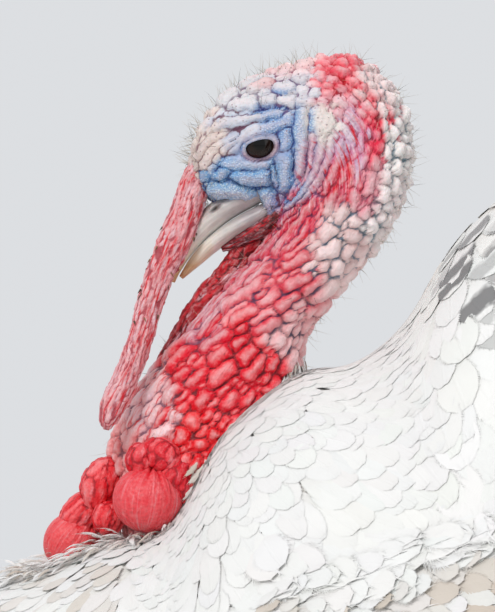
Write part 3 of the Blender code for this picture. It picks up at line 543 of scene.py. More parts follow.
def ball_surface(middle, radii, tilt=0.0):
    """An egg: t runs from its crown, 0, to its foot, 3."""
    def surface(t, around):
        v = t / 3 * math.pi
        x, y = np.sin(v) * np.cos(around) * radii[0], np.sin(v) * np.sin(around) * radii[1]
        z = np.cos(v) * radii[2]
        c, s = math.cos(tilt), math.sin(tilt)
        return np.stack((x * c + z * s, y, z * c - x * s), -1) + np.array(middle)
    return surface


def wattle(surface, high, rows, columns, size, tries, kind, low=0.0):
    """A hanging part with its own folds of one size: length, width and height in millimetres."""
    folds = Folds()
    for shrink in (1.0, 0.6):
        folds.scatter(surface, low, high, lambda p: np.tile((*size, 0, 1.0), (len(p), 1)), tries, 0.78, shrink)
    return skin_part(surface, np.linspace(low, high, rows), columns, folds, 0.8 * size[2] * MILLI,
                     wattle_names.index(kind))


def gathered(surface, rows, columns, kind):
    """A taut swollen ball, gathered in deep creases at its crown and finely ribbed down its sides."""
    t, around = grid_of(np.linspace(0.03, 2.97, rows), columns)
    wobble = sum(rng.uniform(0.01, 0.04) * np.sin(k * t * 2.1 + rng.uniform(0, 6)
                                                  + np.round(rng.uniform(0, 3)) * around) for k in (1, 2, 3, 4))
    groove = np.abs(np.sin((around + wobble) * 5.5)) ** 0.5
    deep = (1 - groove) * np.clip(1.05 - t, 0, 1) ** 0.7
    ribs = sum(np.sin(k * (around + 1.5 * wobble) + rng.uniform(0, 6)) * rng.uniform(0.5, 1)
               for k in (29, 43, 61, 23))
    ribs = ribs / 4 * np.clip(np.sin(t / 3 * math.pi) * 1.6, 0, 1)
    smooth, _, _, out = slopes(surface, t, around)
    points, tris = capped(smooth + out * (0.14 * MILLI * ribs - 2.6 * MILLI * deep)[:, None], rows, columns)
    # The crown's grooves and the valleys between the ribs take the creases' colour, darkened as painted shade.
    edge = np.clip(0.24 - 0.24 * ribs + 0.75 * np.clip(deep * 1.5, 0, 1), 0, 1)
    lie = np.stack((t * 0.004, np.cos(around) * 0.008, np.sin(around) * 0.008), -1)
    edge, lie = (np.concatenate((v, v[:1], v[-1:])) for v in (edge, lie))
    return points, tris, edge, np.zeros(len(points)), lie, np.full(len(points), wattle_names.index(kind))


wattle_names = list(WATTLE_COLOURS)
skin_parts = [neck_part,
              wattle(tube_surface(SNOOD), 10, 240, 72, (26, 1.5, 0.60), 4200, "snood"),
              wattle(tube_surface(DEWLAP), 7, 90, 40, (9, 1.8, 0.6), 1200, "dewlap"),
              wattle(tube_surface(CHIN), 3, 40, 30, (6, 1.8, 0.3), 300, "chin")]
for middle, radii, tilt, size in BALLS:
    kind = "pendant" if middle[0] < -0.130 else "ball"
    if size[1] < 2:
        skin_parts.append(gathered(ball_surface(middle, radii, tilt), 100, 180, kind))
    else:
        skin_parts.append(wattle(ball_surface(middle, radii, tilt), 2.97, 60, 84, size, 900, kind, 0.03))

# --- the body's skin under the feathers ---------------------------------------
# Pink skin stretched over breast, back, arms and thighs. It lies a coat's depth inside the plumage that it
# carries, whose outline the rows give.

# From breast to rump: x, top line, level of the greatest width, under line, half width of the plumage.
TRUNK = np.array((
    (-0.2480, 0.372, 0.355, 0.338, 0.018),
    (-0.2400, 0.400, 0.351, 0.303, 0.058),
    (-0.2250, 0.419, 0.348, 0.272, 0.086),
    (-0.2030, 0.433, 0.345, 0.249, 0.110),
    (-0.1750, 0.442, 0.343, 0.226, 0.132),
    (-0.1450, 0.448, 0.344, 0.208, 0.150),
    (-0.1180, 0.453, 0.347, 0.196, 0.162),
    (-0.1060, 0.470, 0.349, 0.192, 0.167),
    (-0.0960, 0.490, 0.351, 0.189, 0.171),
    (-0.0780, 0.508, 0.354, 0.185, 0.177),
    (-0.0590, 0.519, 0.358, 0.182, 0.182),
    (-0.0380, 0.522, 0.361, 0.180, 0.186),
    (-0.0160, 0.539, 0.364, 0.178, 0.189),
    (0.0000, 0.567, 0.367, 0.178, 0.191),
    (0.0180, 0.588, 0.369, 0.179, 0.192),
    (0.0450, 0.606, 0.371, 0.182, 0.193),
    (0.0800, 0.619, 0.374, 0.189, 0.190),
    (0.1150, 0.625, 0.379, 0.200, 0.182),
    (0.1500, 0.621, 0.388, 0.220, 0.166),
    (0.1800, 0.607, 0.401, 0.249, 0.143),
    (0.2060, 0.580, 0.414, 0.288, 0.111),
    (0.2260, 0.536, 0.425, 0.342, 0.071),
    (0.2370, 0.484, 0.430, 0.392, 0.034),
))
RIDGE_PINCH, FLANK_FULLNESS = 0.16, 0.86
COAT_DEPTH = 12 * MILLI
PAD_CENTRE, PAD_RADII, PAD_TURN = (0.010, 0.368), (0.150, 0.094), math.radians(-12)
PAD_THICK, PAD_RIM = 0.018, 0.0045


def trunk_surface(x, angle, sink=0.0):
    """Points on the trunk: angle 0 is the top line, a half turn the under line."""
    top, middle, under, half = curve_through(TRUNK, x).T
    up, side = np.cos(angle), np.sin(angle)
    tall = np.maximum(np.where(up > 0, top - middle, middle - under) - sink, 4 * MILLI)
    width = np.maximum(half - sink, 4 * MILLI) * np.abs(side) ** FLANK_FULLNESS
    return np.stack((x, np.sign(side) * width * (1 - RIDGE_PINCH * np.maximum(up, 0)), middle + tall * up), -1)


def trunk_side(x, z):
    """Half width of the trunk at places in the side view, 0 above or below it."""
    top, middle, under, half = curve_through(TRUNK, np.clip(x, TRUNK[0, 0], TRUNK[-1, 0])).T
    up = np.clip((z - middle) / np.where(z > middle, top - middle, middle - under), -1, 1)
    return half * np.sqrt(1 - up * up) ** FLANK_FULLNESS * (1 - RIDGE_PINCH * np.maximum(up, 0))


def pad_place(angle, share):
    """Places in the side view on the ellipse of the wing's coverts."""
    x, z = PAD_RADII[0] * np.cos(angle) * share, PAD_RADII[1] * np.sin(angle) * share
    c, s = math.cos(PAD_TURN), math.sin(PAD_TURN)
    return PAD_CENTRE[0] + c * x + s * z, PAD_CENTRE[1] - s * x + c * z


def wing_pad(side, shares, sunk, inner):
    """The wing's coverts as a closed lens: how deep its face is sunk and how far in its back reaches."""
    ring, layers = np.arange(48) * math.pi / 24, []
    for share, outer in [(s, True) for s in shares] + [(s, False) for s in shares[::-1]]:
        x, z = pad_place(ring, share)
        lens = PAD_RIM + PAD_THICK * (1 - share**2) ** 0.7 - sunk if outer else -inner
        layers.append(np.stack((x, side * (trunk_side(x, z) + lens), z), -1))
    return capped(np.concatenate(layers), 2 * len(shares), 48)


def plain_part(shape, kind):
    """A closed shape without folds, in the same form as the parts that have them."""
    points, faces = shape
    tone = rng.normal(0, 0.5, len(points))
    return points, faces, 0 * tone, tone, points, np.full(len(points), wattle_names.index(kind))


body_parts = [plain_part(lofted(lambda x, a: trunk_surface(x, a, COAT_DEPTH), -0.2375, 0.2260, 90, 96), "body"),
              plain_part(lofted(ball_surface((0.2180, 0.0, 0.4360), (0.034, 0.040, 0.040)), 0.05, 2.95, 24, 40),
                         "body")]
for side in (-1, 1):
    pad = wing_pad(side, (0.10, 0.35, 0.58, 0.76, 0.90), 10 * MILLI, 26 * MILLI)
    body_parts.append(plain_part(pad, "body"))

# --- legs ---------------------------------------------------------------------
# Feathered thighs over bare shanks and feet of pale horny skin: wide scutes in two rows down the front of the
# shank and across each toe, small round scales behind. The soles rest flat on the floor.
HIP, HOCK, FOOT = np.array(((0.020, 0.088, 0.290), (0.046, 0.078, 0.152), (0.016, 0.078, 0.016)))
# Each toe's name, turn from straight ahead in degrees, length and half width.
TOES = (("middle", 0, 0.078, 0.0072), ("inner", 31, 0.058, 0.0066), ("outer", -33, 0.060, 0.0066),
        ("hind", 180, 0.026, 0.0056))
SCUTE = 0.55 * MILLI      # how far a scute stands over the crease at its edge


def leg_line(start, end, side, stations):
    """Rows of a straight limb's line: share, x, y, z, half width across and half depth."""
    return np.array([(share, *((start + (end - start) * share) * (1, side, 1)), wide, deep)
                     for share, wide, deep in stations])


def scaled_part(line, rows, columns, length, pitch, rows_of_scutes, lift):
    """A limb covered in scutes: pitch is their length along it and lift their height over the creases."""
    t, around = grid_of(np.linspace(line[0, 0], line[-1, 0], rows), columns)
    place, _, _, out = slopes(tube_surface(line), t, around)
    run = (t - t[0]) / (t[-1] - t[0]) * length / pitch
    step = run + 0.5 * (np.cos(around) > 0) if rows_of_scutes == 2 else run
    plate = np.abs(2 * (step % 1) - 1) ** 5
    if rows_of_scutes == 2:
        plate = np.maximum(plate, 1 - np.minimum(np.abs(np.cos(around)) / 0.10, 1))
    turn = around / (2 * math.pi) * 15
    small = np.hypot(2 * ((run * 2.2 + 0.5 * (np.floor(turn) % 2)) % 1) - 1, 2 * (turn % 1) - 1) / 1.25
    edge = np.clip(np.where(np.sin(around) < 0.25, plate, small**3), 0, 1)
    points, faces = capped(place + out * (lift * (1 - edge) - 0.2 * MILLI)[:, None], rows, columns)
    edge = np.concatenate((edge, (0, 0)))
    tone = np.sin(np.concatenate((np.floor(step) * 12.9 + np.floor(turn) * 7.7, (0, 0)))) * 1.2
    return points, faces, edge, tone, points, np.full(len(points), wattle_names.index("leg"))


def toe_run(side, turn):
    """The level way a toe points."""
    a = math.radians(turn) * side
    return np.array((-math.cos(a), -math.sin(a), 0.0))


for side in (-1, 1):
    thigh = leg_line(HIP, HOCK - (0.002, 0, 0.004), side, (
        (0.0, 0.046, 0.056), (0.25, 0.042, 0.052), (0.5, 0.031, 0.039), (0.72, 0.019, 0.024),
        (0.9, 0.0115, 0.0145), (1.0, 0.0105, 0.0125)))
    shank = leg_line(HOCK, FOOT, side, (
        (-0.06, 0.0100, 0.0112), (0.0, 0.0101, 0.0114), (0.2, 0.0080, 0.0090), (0.55, 0.0069, 0.0078),
        (0.85, 0.0076, 0.0086), (1.0, 0.0079, 0.0090)))
    ball_of_foot = ball_surface((FOOT[0], side * FOOT[1], 0.0105), (0.0135, 0.0125, 0.0110))
    body_parts += [plain_part(lofted(tube_surface(thigh), 0.0, 1.0, 40, 48), "body"),
                   scaled_part(shank, 210, 72, 146, 6.5, 2, SCUTE),
                   plain_part(lofted(ball_of_foot, 0.05, 2.95, 20, 40), "leg")]
    for _, turn, length, thick in TOES:
        root, run = FOOT * (1, side, 0), toe_run(side, turn)
        toe = []
        for share, swell in ((0.0, 1.0), (0.4, 0.94), (0.75, 0.82), (1.0, 0.66)):
            wide = thick * swell
            toe.append((share, *(root + (0, 0, wide * 0.90) + run * length * share), wide, wide))
        body_parts.append(scaled_part(np.array(toe), int(length * 900), 48, length / MILLI, 4.2, 1,
                                      0.45 * MILLI))
skin_parts += body_parts


# --- one skin -----------------------------------------------------------------
# All the flesh is closed into one skin without a seam, and the eye sockets are cut in it: the lids stand
# round an opening smaller than the eye, which fills the hollow behind them.
EYE_SOCKET = 7.5 * MILLI      # its radius


def new_mesh(name, points, faces):
    """A smooth mesh in the frame from points in the bird's own."""
    mesh = bpy.data.meshes.new(name)
    faces = np.asarray(faces)
    mesh.vertices.add(len(points))
    mesh.vertices.foreach_set("co", (np.asarray(points) + BIRD_TO_FRAME).astype(np.float32).ravel())
    mesh.loops.add(faces.size)
    mesh.loops.foreach_set("vertex_index", faces.astype(np.int32).ravel())
    mesh.polygons.add(len(faces))
    mesh.polygons.foreach_set("loop_start", np.arange(0, faces.size, faces.shape[1], dtype=np.int32))
    mesh.polygons.foreach_set("use_smooth", np.full(len(faces), True))
    mesh.update(calc_edges=True)
    mesh.validate()
    return mesh


def new_object(name, mesh):
    obj = bpy.data.objects.new(name, mesh)
    bpy.context.scene.collection.objects.link(obj)
    return obj


def settle(obj):
    """Turns an object's modifiers into its mesh."""
    graph = bpy.context.evaluated_depsgraph_get()
    graph.update()
    made = bpy.data.meshes.new_from_object(obj.evaluated_get(graph))
    obj.modifiers.clear()
    obj.data = made


def boolean(obj, shape, operation):
    """Joins or cuts obj with a closed shape."""
    tool = new_object("tool", new_mesh("tool", *shape))
    step = obj.modifiers.new(operation, "BOOLEAN")
    step.operation, step.solver, step.object = operation, "MANIFOLD", tool
    settle(obj)
    bpy.data.objects.remove(tool)


skin = new_object("bare_skin", new_mesh("bare_skin", *skin_parts[1][:2]))
for part in skin_parts[2:] + skin_parts[:1]:
    boolean(skin, part[:2], "UNION")
# The soles are cut to small flats at one level.
ground = np.array([(x, y, z) for z in (-0.05, 0.0) for x, y in ((-1, -1), (1, -1), (1, 1), (-1, 1))])
boolean(skin, capped(ground, 2, 4), "DIFFERENCE")
for side in (-1, 1):
    u, v = lid_line(0, 48).T
    well = [np.stack((EYE[0] + u, 0 * u + side * (EYE[1] + deep), EYE[2] + v), -1) for deep in (0.0, 0.02)]
    boolean(skin, capped(np.concatenate(well), 2, 48), "DIFFERENCE")
    boolean(skin, lofted(ball_surface(EYE * (1, side, 1), (EYE_SOCKET,) * 3), 0.01, 2.99, 40, 64), "DIFFERENCE")
skin.data.shade_smooth()
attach(skin, "root")
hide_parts("head", "neck", "trunk", "dewlap", "snood", "caruncle_left", "caruncle_right",
            "caruncle_front", "thigh_left", "thigh_right", "shank_left", "shank_right", "foot_left", "foot_right")

# Every point of the finished skin takes its tone, creases and colours from the nearest point of its parts.
BLUE = ("brow", "under eye", "pouch", "lobe", "pale fold", "mouth corner")
STREAKED = ("under ear", "cheek", "red cheek", "jaw folds", "throat", "upper throat", "lilac front")
PORED = ("temple", "brow roll", "behind brow", "brow", "forehead", "brow front", "front crown", "middle crown",
         "crown ridge", "ear", "lobe")


def vertex_values(mesh, name, kind, values):
    """Stores one value, vector or colour for each point of a mesh."""
    store = mesh.attributes.new(name, kind, "POINT")
    key = {"FLOAT": "value", "FLOAT_VECTOR": "vector", "FLOAT_COLOR": "color"}[kind]
    if kind == "FLOAT_COLOR":
        values = np.concatenate((values, np.ones((len(values), 1))), 1)
    store.data.foreach_set(key, np.ascontiguousarray(values, np.float32).ravel())


def mesh_points(mesh):
    """A mesh's points in the bird's own frame."""
    points = np.empty(len(mesh.vertices) * 3, np.float32)
    mesh.vertices.foreach_get("co", points)
    return points.reshape(-1, 3) - BIRD_TO_FRAME


tree = point_tree(np.concatenate([part[0] for part in skin_parts]).tolist())
skin_points = mesh_points(skin.data)
nearest = np.array([tree.find(p)[1] for p in skin_points.tolist()])
edge, tone, lie, part_kind = (np.concatenate([part[k] for part in skin_parts])[nearest] for k in (2, 3, 4, 5))
on_neck, on_body = part_kind < 0, part_kind >= wattle_names.index("body")
on_ball = np.isin(part_kind, [wattle_names.index(kind) for kind in ("ball", "pendant")])
edge = np.where(on_neck | on_body, edge, 0.34 + 0.66 * edge)
# Each swelling takes its colour from a place a few millimetres off, so that neighbours differ.
drift = np.random.default_rng(8).normal(0, 2.6 * MILLI, (4096, 3))[(np.abs(tone) * 1e5).astype(int) % 4096]
share = region_shares(skin_points + drift, 1.6)
flesh, crease_tint_and_shade = share @ REGION_COLOURS, share @ REGION_CREASE_TINTS_AND_SHADE
for kind, codes in enumerate(WATTLE_COLOURS.values()):
    flesh[part_kind == kind], crease_tint_and_shade[part_kind == kind] = linear(codes[0]), linear(codes[1])
detail = np.stack([share[:, [name in group for name in REGIONS]].sum(1)
                   for group in (BLUE, STREAKED, PORED)], -1)
for these, streaks in ((~on_neck, 1.0), (on_ball, 0.35), (on_body, 0.1)):
    detail[these] = (0, streaks, 0)
# The lids' rims are mauve, and dark where they meet the eye.
c, s = math.cos(LID_TILT), math.sin(LID_TILT)
off = (skin_points[:, [0, 2]] - EYE[[0, 2]] - LID_SHIFT) @ np.array(((c, -s), (s, c)))
ring = np.hypot(off[:, 0] / (LID_OPENING[0] + 2.0 * MILLI), off[:, 1] / (LID_OPENING[1] + 2.0 * MILLI))
ring[np.abs(skin_points[:, 1]) < 0.008] = 2
rim = np.clip((1.12 - ring) / 0.14, 0, 1)[:, None]
inner = np.clip((0.88 - ring) / 0.10, 0, 1)[:, None]
rim *= np.clip(0.75 - off[:, 1:] / (4 * MILLI), 0.25, 1)
flesh = flesh * (1 - rim) + linear("9a7c96") * rim * (1 - inner) + linear("4a2e38") * rim * inner
crease_tint_and_shade = crease_tint_and_shade * (1 - rim) + linear("5c3444") * rim
detail *= 1 - rim * (0.75, 1, 1)
grey = flesh @ (0.2126, 0.7152, 0.0722)
richer = np.where((flesh[:, 0] > 1.15 * flesh[:, 2]) & on_neck, 1.22, 1.0)[:, None]
flesh = np.clip(grey[:, None] + (flesh - grey[:, None]) * richer, 0, 1)
vertex_values(skin.data, "flesh", "FLOAT_COLOR", flesh * 0.94)
# The creases' colour is darkened more than the flesh, as painted shade.
vertex_values(skin.data, "crease_tint_and_shade", "FLOAT_COLOR", crease_tint_and_shade * 0.84)
# The balls take less of the pale patches and of the painted highlight on the swellings' tops.
pale_and_highlight = np.where(on_ball, 0.42, 1.0)
vertex_values(skin.data, "marks", "FLOAT_VECTOR", np.stack((edge, tone, pale_and_highlight), -1))
vertex_values(skin.data, "detail", "FLOAT_VECTOR", detail)
vertex_values(skin.data, "lie", "FLOAT_VECTOR", lie)


def feed(tree, socket, value):
    """Gives an input a node or a socket to follow, or a value to hold."""
    if isinstance(value, bpy.types.Node):
        value = value.outputs[0]
    if isinstance(value, bpy.types.NodeSocket):
        tree.links.new(value, socket)
    else:
        socket.default_value = value


def add(tree, kind, inputs, **settings):
    """A shader node with its settings and what feeds its inputs."""
    made = tree.nodes.new("ShaderNode" + kind)
    for key, value in settings.items():
        setattr(made, key, value)
    for key, value in inputs.items():
        feed(tree, made.inputs[key], value)
    return made


def finish(name, roughness, **sockets):
    """A new material with its node tree and its Principled shader, whose uniform values are set on it."""
    made = bpy.data.materials.new(name)
    made.use_nodes = True
    shader = made.node_tree.nodes["Principled BSDF"]
    shader.inputs["Roughness"].default_value = roughness
    for key, value in sockets.items():
        shader.inputs[key.replace("_", " ")].default_value = value
    return made, made.node_tree, shader


def rgba(code):
    return (*linear(code), 1.0)


def patches(size):
    """The scale of a pattern whose patches or waves are size millimetres across."""
    return 1 / (size * MILLI)


def wash(tree, under, over, source, start, end, most=1.0, only=None):
    """One colour laid over another as source goes from start to end; only keeps it to some places."""
    share = add(tree, "MapRange", {"Value": source, "From Min": start, "From Max": end, "To Max": most})
    if only is not None:
        share = add(tree, "Math", {0: share, 1: only}, operation="MULTIPLY")
    return add(tree, "Mix", {0: share, 6: under, 7: over}, data_type="RGBA").outputs[2]


def varied(tree, colour, source, darkest, palest, low=0.0, high=1.0):
    """A colour made darker and paler as source goes from low to high."""
    value = add(tree, "MapRange", {"Value": source, "From Min": low, "From Max": high, "To Min": darkest,
                                   "To Max": palest})
    return add(tree, "HueSaturation", {"Color": colour, "Value": value})


def surfaced(tree, shader, colour, height=None, strength=0.0, distance=0.0):
    """Gives a shader its colour, and where there is a height its relief."""
    feed(tree, shader.inputs["Base Color"], colour)
    if height is not None:
        bump = add(tree, "Bump", {"Height": height, "Strength": strength, "Distance": distance})
        feed(tree, shader.inputs["Normal"], bump)


# Bare turkey skin: moist, thin, a little translucent, flushed with blood. Red gathers on the flanks of each
# swelling, which are also darker as painted shade, its top carries a painted highlight, and the creases stay
# blue grey, darkened as painted shade; the blue of the face is stippled with pale warts 0.87 mm apart.
turkey_skin, tree, shader = finish("turkey_skin", 0.40, IOR=1.42, Subsurface_Weight=0.10,
                                   Subsurface_Scale=0.0012)
shader.inputs["Subsurface Radius"].default_value = (1.0, 0.4, 0.3)
flesh_in, crease_tint_and_shade_in = (add(tree, "Attribute", {}, attribute_name=name).outputs["Color"]
                       for name in ("flesh", "crease_tint_and_shade"))
marks_in, detail_in, lie_in = (add(tree, "Attribute", {}, attribute_name=name).outputs["Vector"]
                               for name in ("marks", "detail", "lie"))
edge_in, tone_in, pale_and_highlight_in = add(tree, "SeparateXYZ", {0: marks_in}).outputs
blue_in, streak_in, pore_in = add(tree, "SeparateXYZ", {0: detail_in}).outputs
place_in = add(tree, "TexCoord", {}).outputs["Object"]

# Uneven flush: each swelling has its own tone, with paler patches a millimetre or two across.
mottle = add(tree, "TexNoise", {"Vector": place_in, "Scale": patches(2.381), "Detail": 4.0,
                                "Roughness": 0.62}).outputs["Fac"]
tones = {"Value": tone_in, "From Min": -2.0, "From Max": 2.0}
tone_value = add(tree, "MapRange", {**tones, "To Min": 0.86, "To Max": 1.12})
tone_depth = add(tree, "MapRange", {**tones, "To Min": 1.14, "To Max": 0.86})
toned = add(tree, "HueSaturation", {"Color": flesh_in, "Saturation": tone_depth, "Value": tone_value})
deeper = add(tree, "HueSaturation", {"Color": toned, "Saturation": 1.22, "Value": 0.94})
colour = wash(tree, toned, rgba("f0dcdc"), mottle, 0.50, 0.72, 0.30, pale_and_highlight_in)
colour = wash(tree, colour, deeper, mottle, 0.46, 0.30, 0.55)

# Lengthwise streaks of blood and pale sinew, 1.4 mm apart, where the skin is drawn into long wrinkles.
stretch = add(tree, "Mapping", {"Vector": lie_in, "Scale": (90.0, 700.0, 700.0)})
strand = add(tree, "TexNoise", {"Vector": stretch, "Scale": 1.0, "Detail": 5.0,
                                "Roughness": 0.65, "Distortion": 0.35}).outputs["Fac"]
colour = wash(tree, colour, rgba("d81c2c"), strand, 0.51, 0.63, 1.0, streak_in)
colour = wash(tree, colour, rgba("ead2dc"), strand, 0.46, 0.33, 0.8, streak_in)

# The blue skin's stipple of pale warts, and the dark pores of the crown, 2.5 mm apart.
warts, pores = (add(tree, "TexVoronoi", {"Vector": place_in, "Scale": patches(size), "Randomness": mess}
                    ) for size, mess in ((0.8696, 0.9), (2.5, 1.0)))
colour = wash(tree, colour, rgba("6496d2"), warts, 0.28, 0.58, 0.55, blue_in)
colour = wash(tree, colour, rgba("e4eef8"), warts, 0.34, 0.14, 0.7, blue_in)
pored = wash(tree, colour, rgba("6a3444"), pores, 0.20, 0.10, 0.75, pore_in)

# Painted light from each swelling's shape: a pale painted highlight on its top, painted shade on its redder
# flanks, and the creases' blue grey, darkened as painted shade, down in them, whose edge wanders.
flank_shade = add(tree, "HueSaturation", {"Color": pored, "Saturation": 1.22, "Value": 0.90})
uneven = add(tree, "TexNoise", {"Vector": place_in, "Scale": patches(5.263), "Detail": 3.0})
wander = add(tree, "Math", {0: uneven, 1: 0.50, 2: -0.25}, operation="MULTIPLY_ADD")
wander = add(tree, "Math", {0: edge_in, 1: wander}, operation="ADD")
colour = wash(tree, pored, rgba("ecd9da"), edge_in, 0.62, 0.10, 0.34, pale_and_highlight_in)
colour = wash(tree, colour, flank_shade, edge_in, 0.55, 0.92, 0.75)
colour = wash(tree, colour, crease_tint_and_shade_in, wander, 0.84, 0.98, 0.95)

# Moisture gathers unevenly, and fine wrinkles 0.6 mm across run along every fold between pebbles of 1.25 mm.
wet = add(tree, "MapRange", {"Value": mottle, "From Min": 0.3, "From Max": 0.7,
                             "To Min": 0.27, "To Max": 0.48})
feed(tree, shader.inputs["Roughness"], wet)
fine = add(tree, "Mapping", {"Vector": lie_in, "Scale": (260.0, 1700.0, 1700.0)})
wrinkle = add(tree, "TexNoise", {"Vector": fine, "Scale": 1.0, "Detail": 3.0})
relief = add(tree, "Math", {0: warts, 1: blue_in}, operation="MULTIPLY")
relief = add(tree, "Math", {0: wrinkle, 1: relief}, operation="SUBTRACT")
pebble = add(tree, "TexVoronoi", {"Vector": place_in, "Scale": patches(1.25)}, feature="SMOOTH_F1")
relief = add(tree, "Math", {0: pebble, 1: -0.8, 2: relief}, operation="MULTIPLY_ADD")
surfaced(tree, shader, colour, relief, 0.75, 0.0009)
skin.data.materials.clear()
skin.data.materials.append(turkey_skin)

# --- eyes ---------------------------------------------------------------------
# A turkey's eye is a ball of clear cornea over a very dark brown iris and a wide black pupil, always wet. It
# fills the socket behind the lids and only its front shows.
EYEBALL = 7.35 * MILLI
PUPIL, IRIS, EYE_EDGE = 2.4, 4.9, 8.0      # radii in millimetres on the ball, seen from its side of the head

# Wet cornea: very smooth, so that it mirrors the lights, over an iris of fine dark fibres 0.4 mm apart.
wet_eye, tree, shader = finish("wet_eye", 0.08, IOR=1.376, Specular_IOR_Level=0.3, Coat_Weight=0.15,
                               Coat_Roughness=0.02)
axis_in = add(tree, "Attribute", {}, attribute_name="from_axis").outputs["Fac"]
eye_place = add(tree, "TexCoord", {}).outputs["Object"]
fibres = add(tree, "TexNoise", {"Vector": eye_place, "Scale": 2600.0, "Detail": 3.0})
ring = add(tree, "ValToRGB", {"Fac": axis_in})
stops = ring.color_ramp.elements
stops[0].position, stops[0].color = PUPIL / EYE_EDGE, rgba("050404")
stops[1].position, stops[1].color = PUPIL / EYE_EDGE + 0.03, rgba("170d0a")
for stop, code in ((IRIS / EYE_EDGE - 0.03, "20130e"), (IRIS / EYE_EDGE, "0c0706"),
                   (IRIS / EYE_EDGE + 0.08, "2a1a18")):
    stops.new(stop).color = rgba(code)
surfaced(tree, shader, varied(tree, ring, fibres, 0.7, 1.3))
for side, word in ((-1, "left"), (1, "right")):
    middle = EYE * (1, side, 1)
    points, faces = lofted(ball_surface(middle, (EYEBALL,) * 3), 0.02, 2.98, 60, 72)
    eye = new_object(f"eyeball_{word}", new_mesh(f"eyeball_{word}", points, faces))
    off = points - middle
    far = np.hypot(off[:, 0], off[:, 2]) / (EYE_EDGE * MILLI)
    vertex_values(eye.data, "from_axis", "FLOAT", np.where(off[:, 1] * side > 0, far, 1.0))
    eye.data.materials.append(wet_eye)
    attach(eye, "root")
    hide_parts(f"eye_{word}")

# --- bill ---------------------------------------------------------------------
# A short stout bill of horn over bone: the upper half hooks down over the lower, which it meets along a thin
# dark line. A slit of a nostril opens near its root.

# Each row: t, x, y, z, half width and half depth.
UPPER_BILL = np.array((
    (-1, -0.0730, 0, 0.5970, 0.0092, 0.0054),
    (0, -0.0815, 0, 0.5925, 0.0095, 0.0056),
    (1, -0.0915, 0, 0.5868, 0.0092, 0.0056),
    (2, -0.1010, 0, 0.5790, 0.0078, 0.0051),
    (3, -0.1080, 0, 0.5705, 0.0056, 0.0042),
    (4, -0.1122, 0, 0.5620, 0.0034, 0.0028),
    (5, -0.1134, 0, 0.5560, 0.0010, 0.0010),
))
LOWER_BILL = np.array((
    (-1, -0.0700, 0, 0.5880, 0.0082, 0.0038),
    (0, -0.0790, 0, 0.5835, 0.0083, 0.0045),
    (1, -0.0880, 0, 0.5785, 0.0081, 0.0042),
    (2, -0.0964, 0, 0.5725, 0.0067, 0.0038),
    (3, -0.1037, 0, 0.5655, 0.0045, 0.0030),
    (4, -0.1100, 0, 0.5580, 0.0016, 0.0011),
))
NOSTRIL = np.array((-0.0956, 0.5868))

# Horn worn smooth by feeding: grey at the root, cream along the middle and amber at the tip, with a grain
# 1.1 mm wide that runs to the tip and clouds 4 mm across.
bill_horn, tree, shader = finish("bill_horn_worn_smooth", 0.38, IOR=1.54, Subsurface_Weight=0.12,
                                 Subsurface_Scale=0.0015)
share_in, pit_and_shade_in = (add(tree, "Attribute", {}, attribute_name=name).outputs["Fac"]
                    for name in ("to_tip", "pit_and_shade"))
bill_lie = add(tree, "Attribute", {}, attribute_name="lie").outputs["Vector"]
grain = add(tree, "Mapping", {"Vector": bill_lie, "Scale": (120.0, 900.0, 900.0)})
streak = add(tree, "TexNoise", {"Vector": grain, "Scale": 1.0, "Detail": 5.0}).outputs["Fac"]
cloud = add(tree, "TexNoise", {"Vector": add(tree, "TexCoord", {}).outputs["Object"],
                               "Scale": patches(3.846), "Detail": 2.0})
shift = add(tree, "MapRange", {"Value": cloud, "To Min": -0.14, "To Max": 0.14})
where = add(tree, "Math", {0: share_in, 1: shift}, operation="ADD")
horn_ramp = add(tree, "ValToRGB", {"Fac": where})
stops = horn_ramp.color_ramp.elements
stops[0].position, stops[0].color, stops[1].color = 0.05, rgba("b0a6a8"), rgba("c09468")
for stop, code in ((0.30, "cbc4c0"), (0.52, "e2dcd4"), (0.74, "e4d4b8"), (0.88, "d6b68a")):
    stops.new(stop).color = rgba(code)
colour = varied(tree, horn_ramp, streak, 0.82, 1.10, 0.3, 0.7)
# Painted shade: the nostril's slit is near black, for the shade inside its opening.
with_pit_shade = add(tree, "Mix", {0: pit_and_shade_in, 6: colour, 7: rgba("2c1c1c")}, data_type="RGBA").outputs[2]
surfaced(tree, shader, with_pit_shade, streak, 0.35, 0.0003)


def horn_piece(name, line, rows, columns, replaced, start=0.0, shape=lambda c, s: (c, s)):
    """A horn from its line; shape bends each ring's cosine and sine, and to_tip grows from start to the tip."""
    t, around = grid_of(np.linspace(line[0, 0], line[-1, 0], rows), columns)
    c, s = shape(np.cos(around), np.sin(around))
    points = round_line(line, t, c, s, 0.04)
    pit_and_shade = np.zeros(len(points))
    if name == "bill_upper_horn":
        back, up = ((points[:, [0, 2]] - NOSTRIL) / MILLI).T
        away = np.hypot((back * -0.80 + up * -0.60) / 2.7, back * -0.60 + up * 0.80)
        # How far the nostril's slit is pressed in, which also sets how much painted shade it gets.
        pit_and_shade = np.clip(1.25 - away, 0, 1)
        points[:, 1] *= (1 - 0.22 * pit_and_shade) * (1 + 0.035 * np.exp(-((away - 1.5) / 0.35) ** 2))
    lie = np.stack((t * 0.011, c * 0.008, s * 0.005), -1)
    made = new_object(name, new_mesh(name, *capped(points, rows, columns)))
    to_tip = np.concatenate((np.clip((t - start) / (line[-1, 0] - start), 0, 1), (0, 1)))
    vertex_values(made.data, "to_tip", "FLOAT", to_tip)
    vertex_values(made.data, "pit_and_shade", "FLOAT", np.concatenate((pit_and_shade, (0, 0))))
    vertex_values(made.data, "lie", "FLOAT_VECTOR", np.concatenate((lie, lie[:1], lie[-1:])))
    made.data.materials.append(bill_horn)
    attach(made, "root")
    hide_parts(replaced)


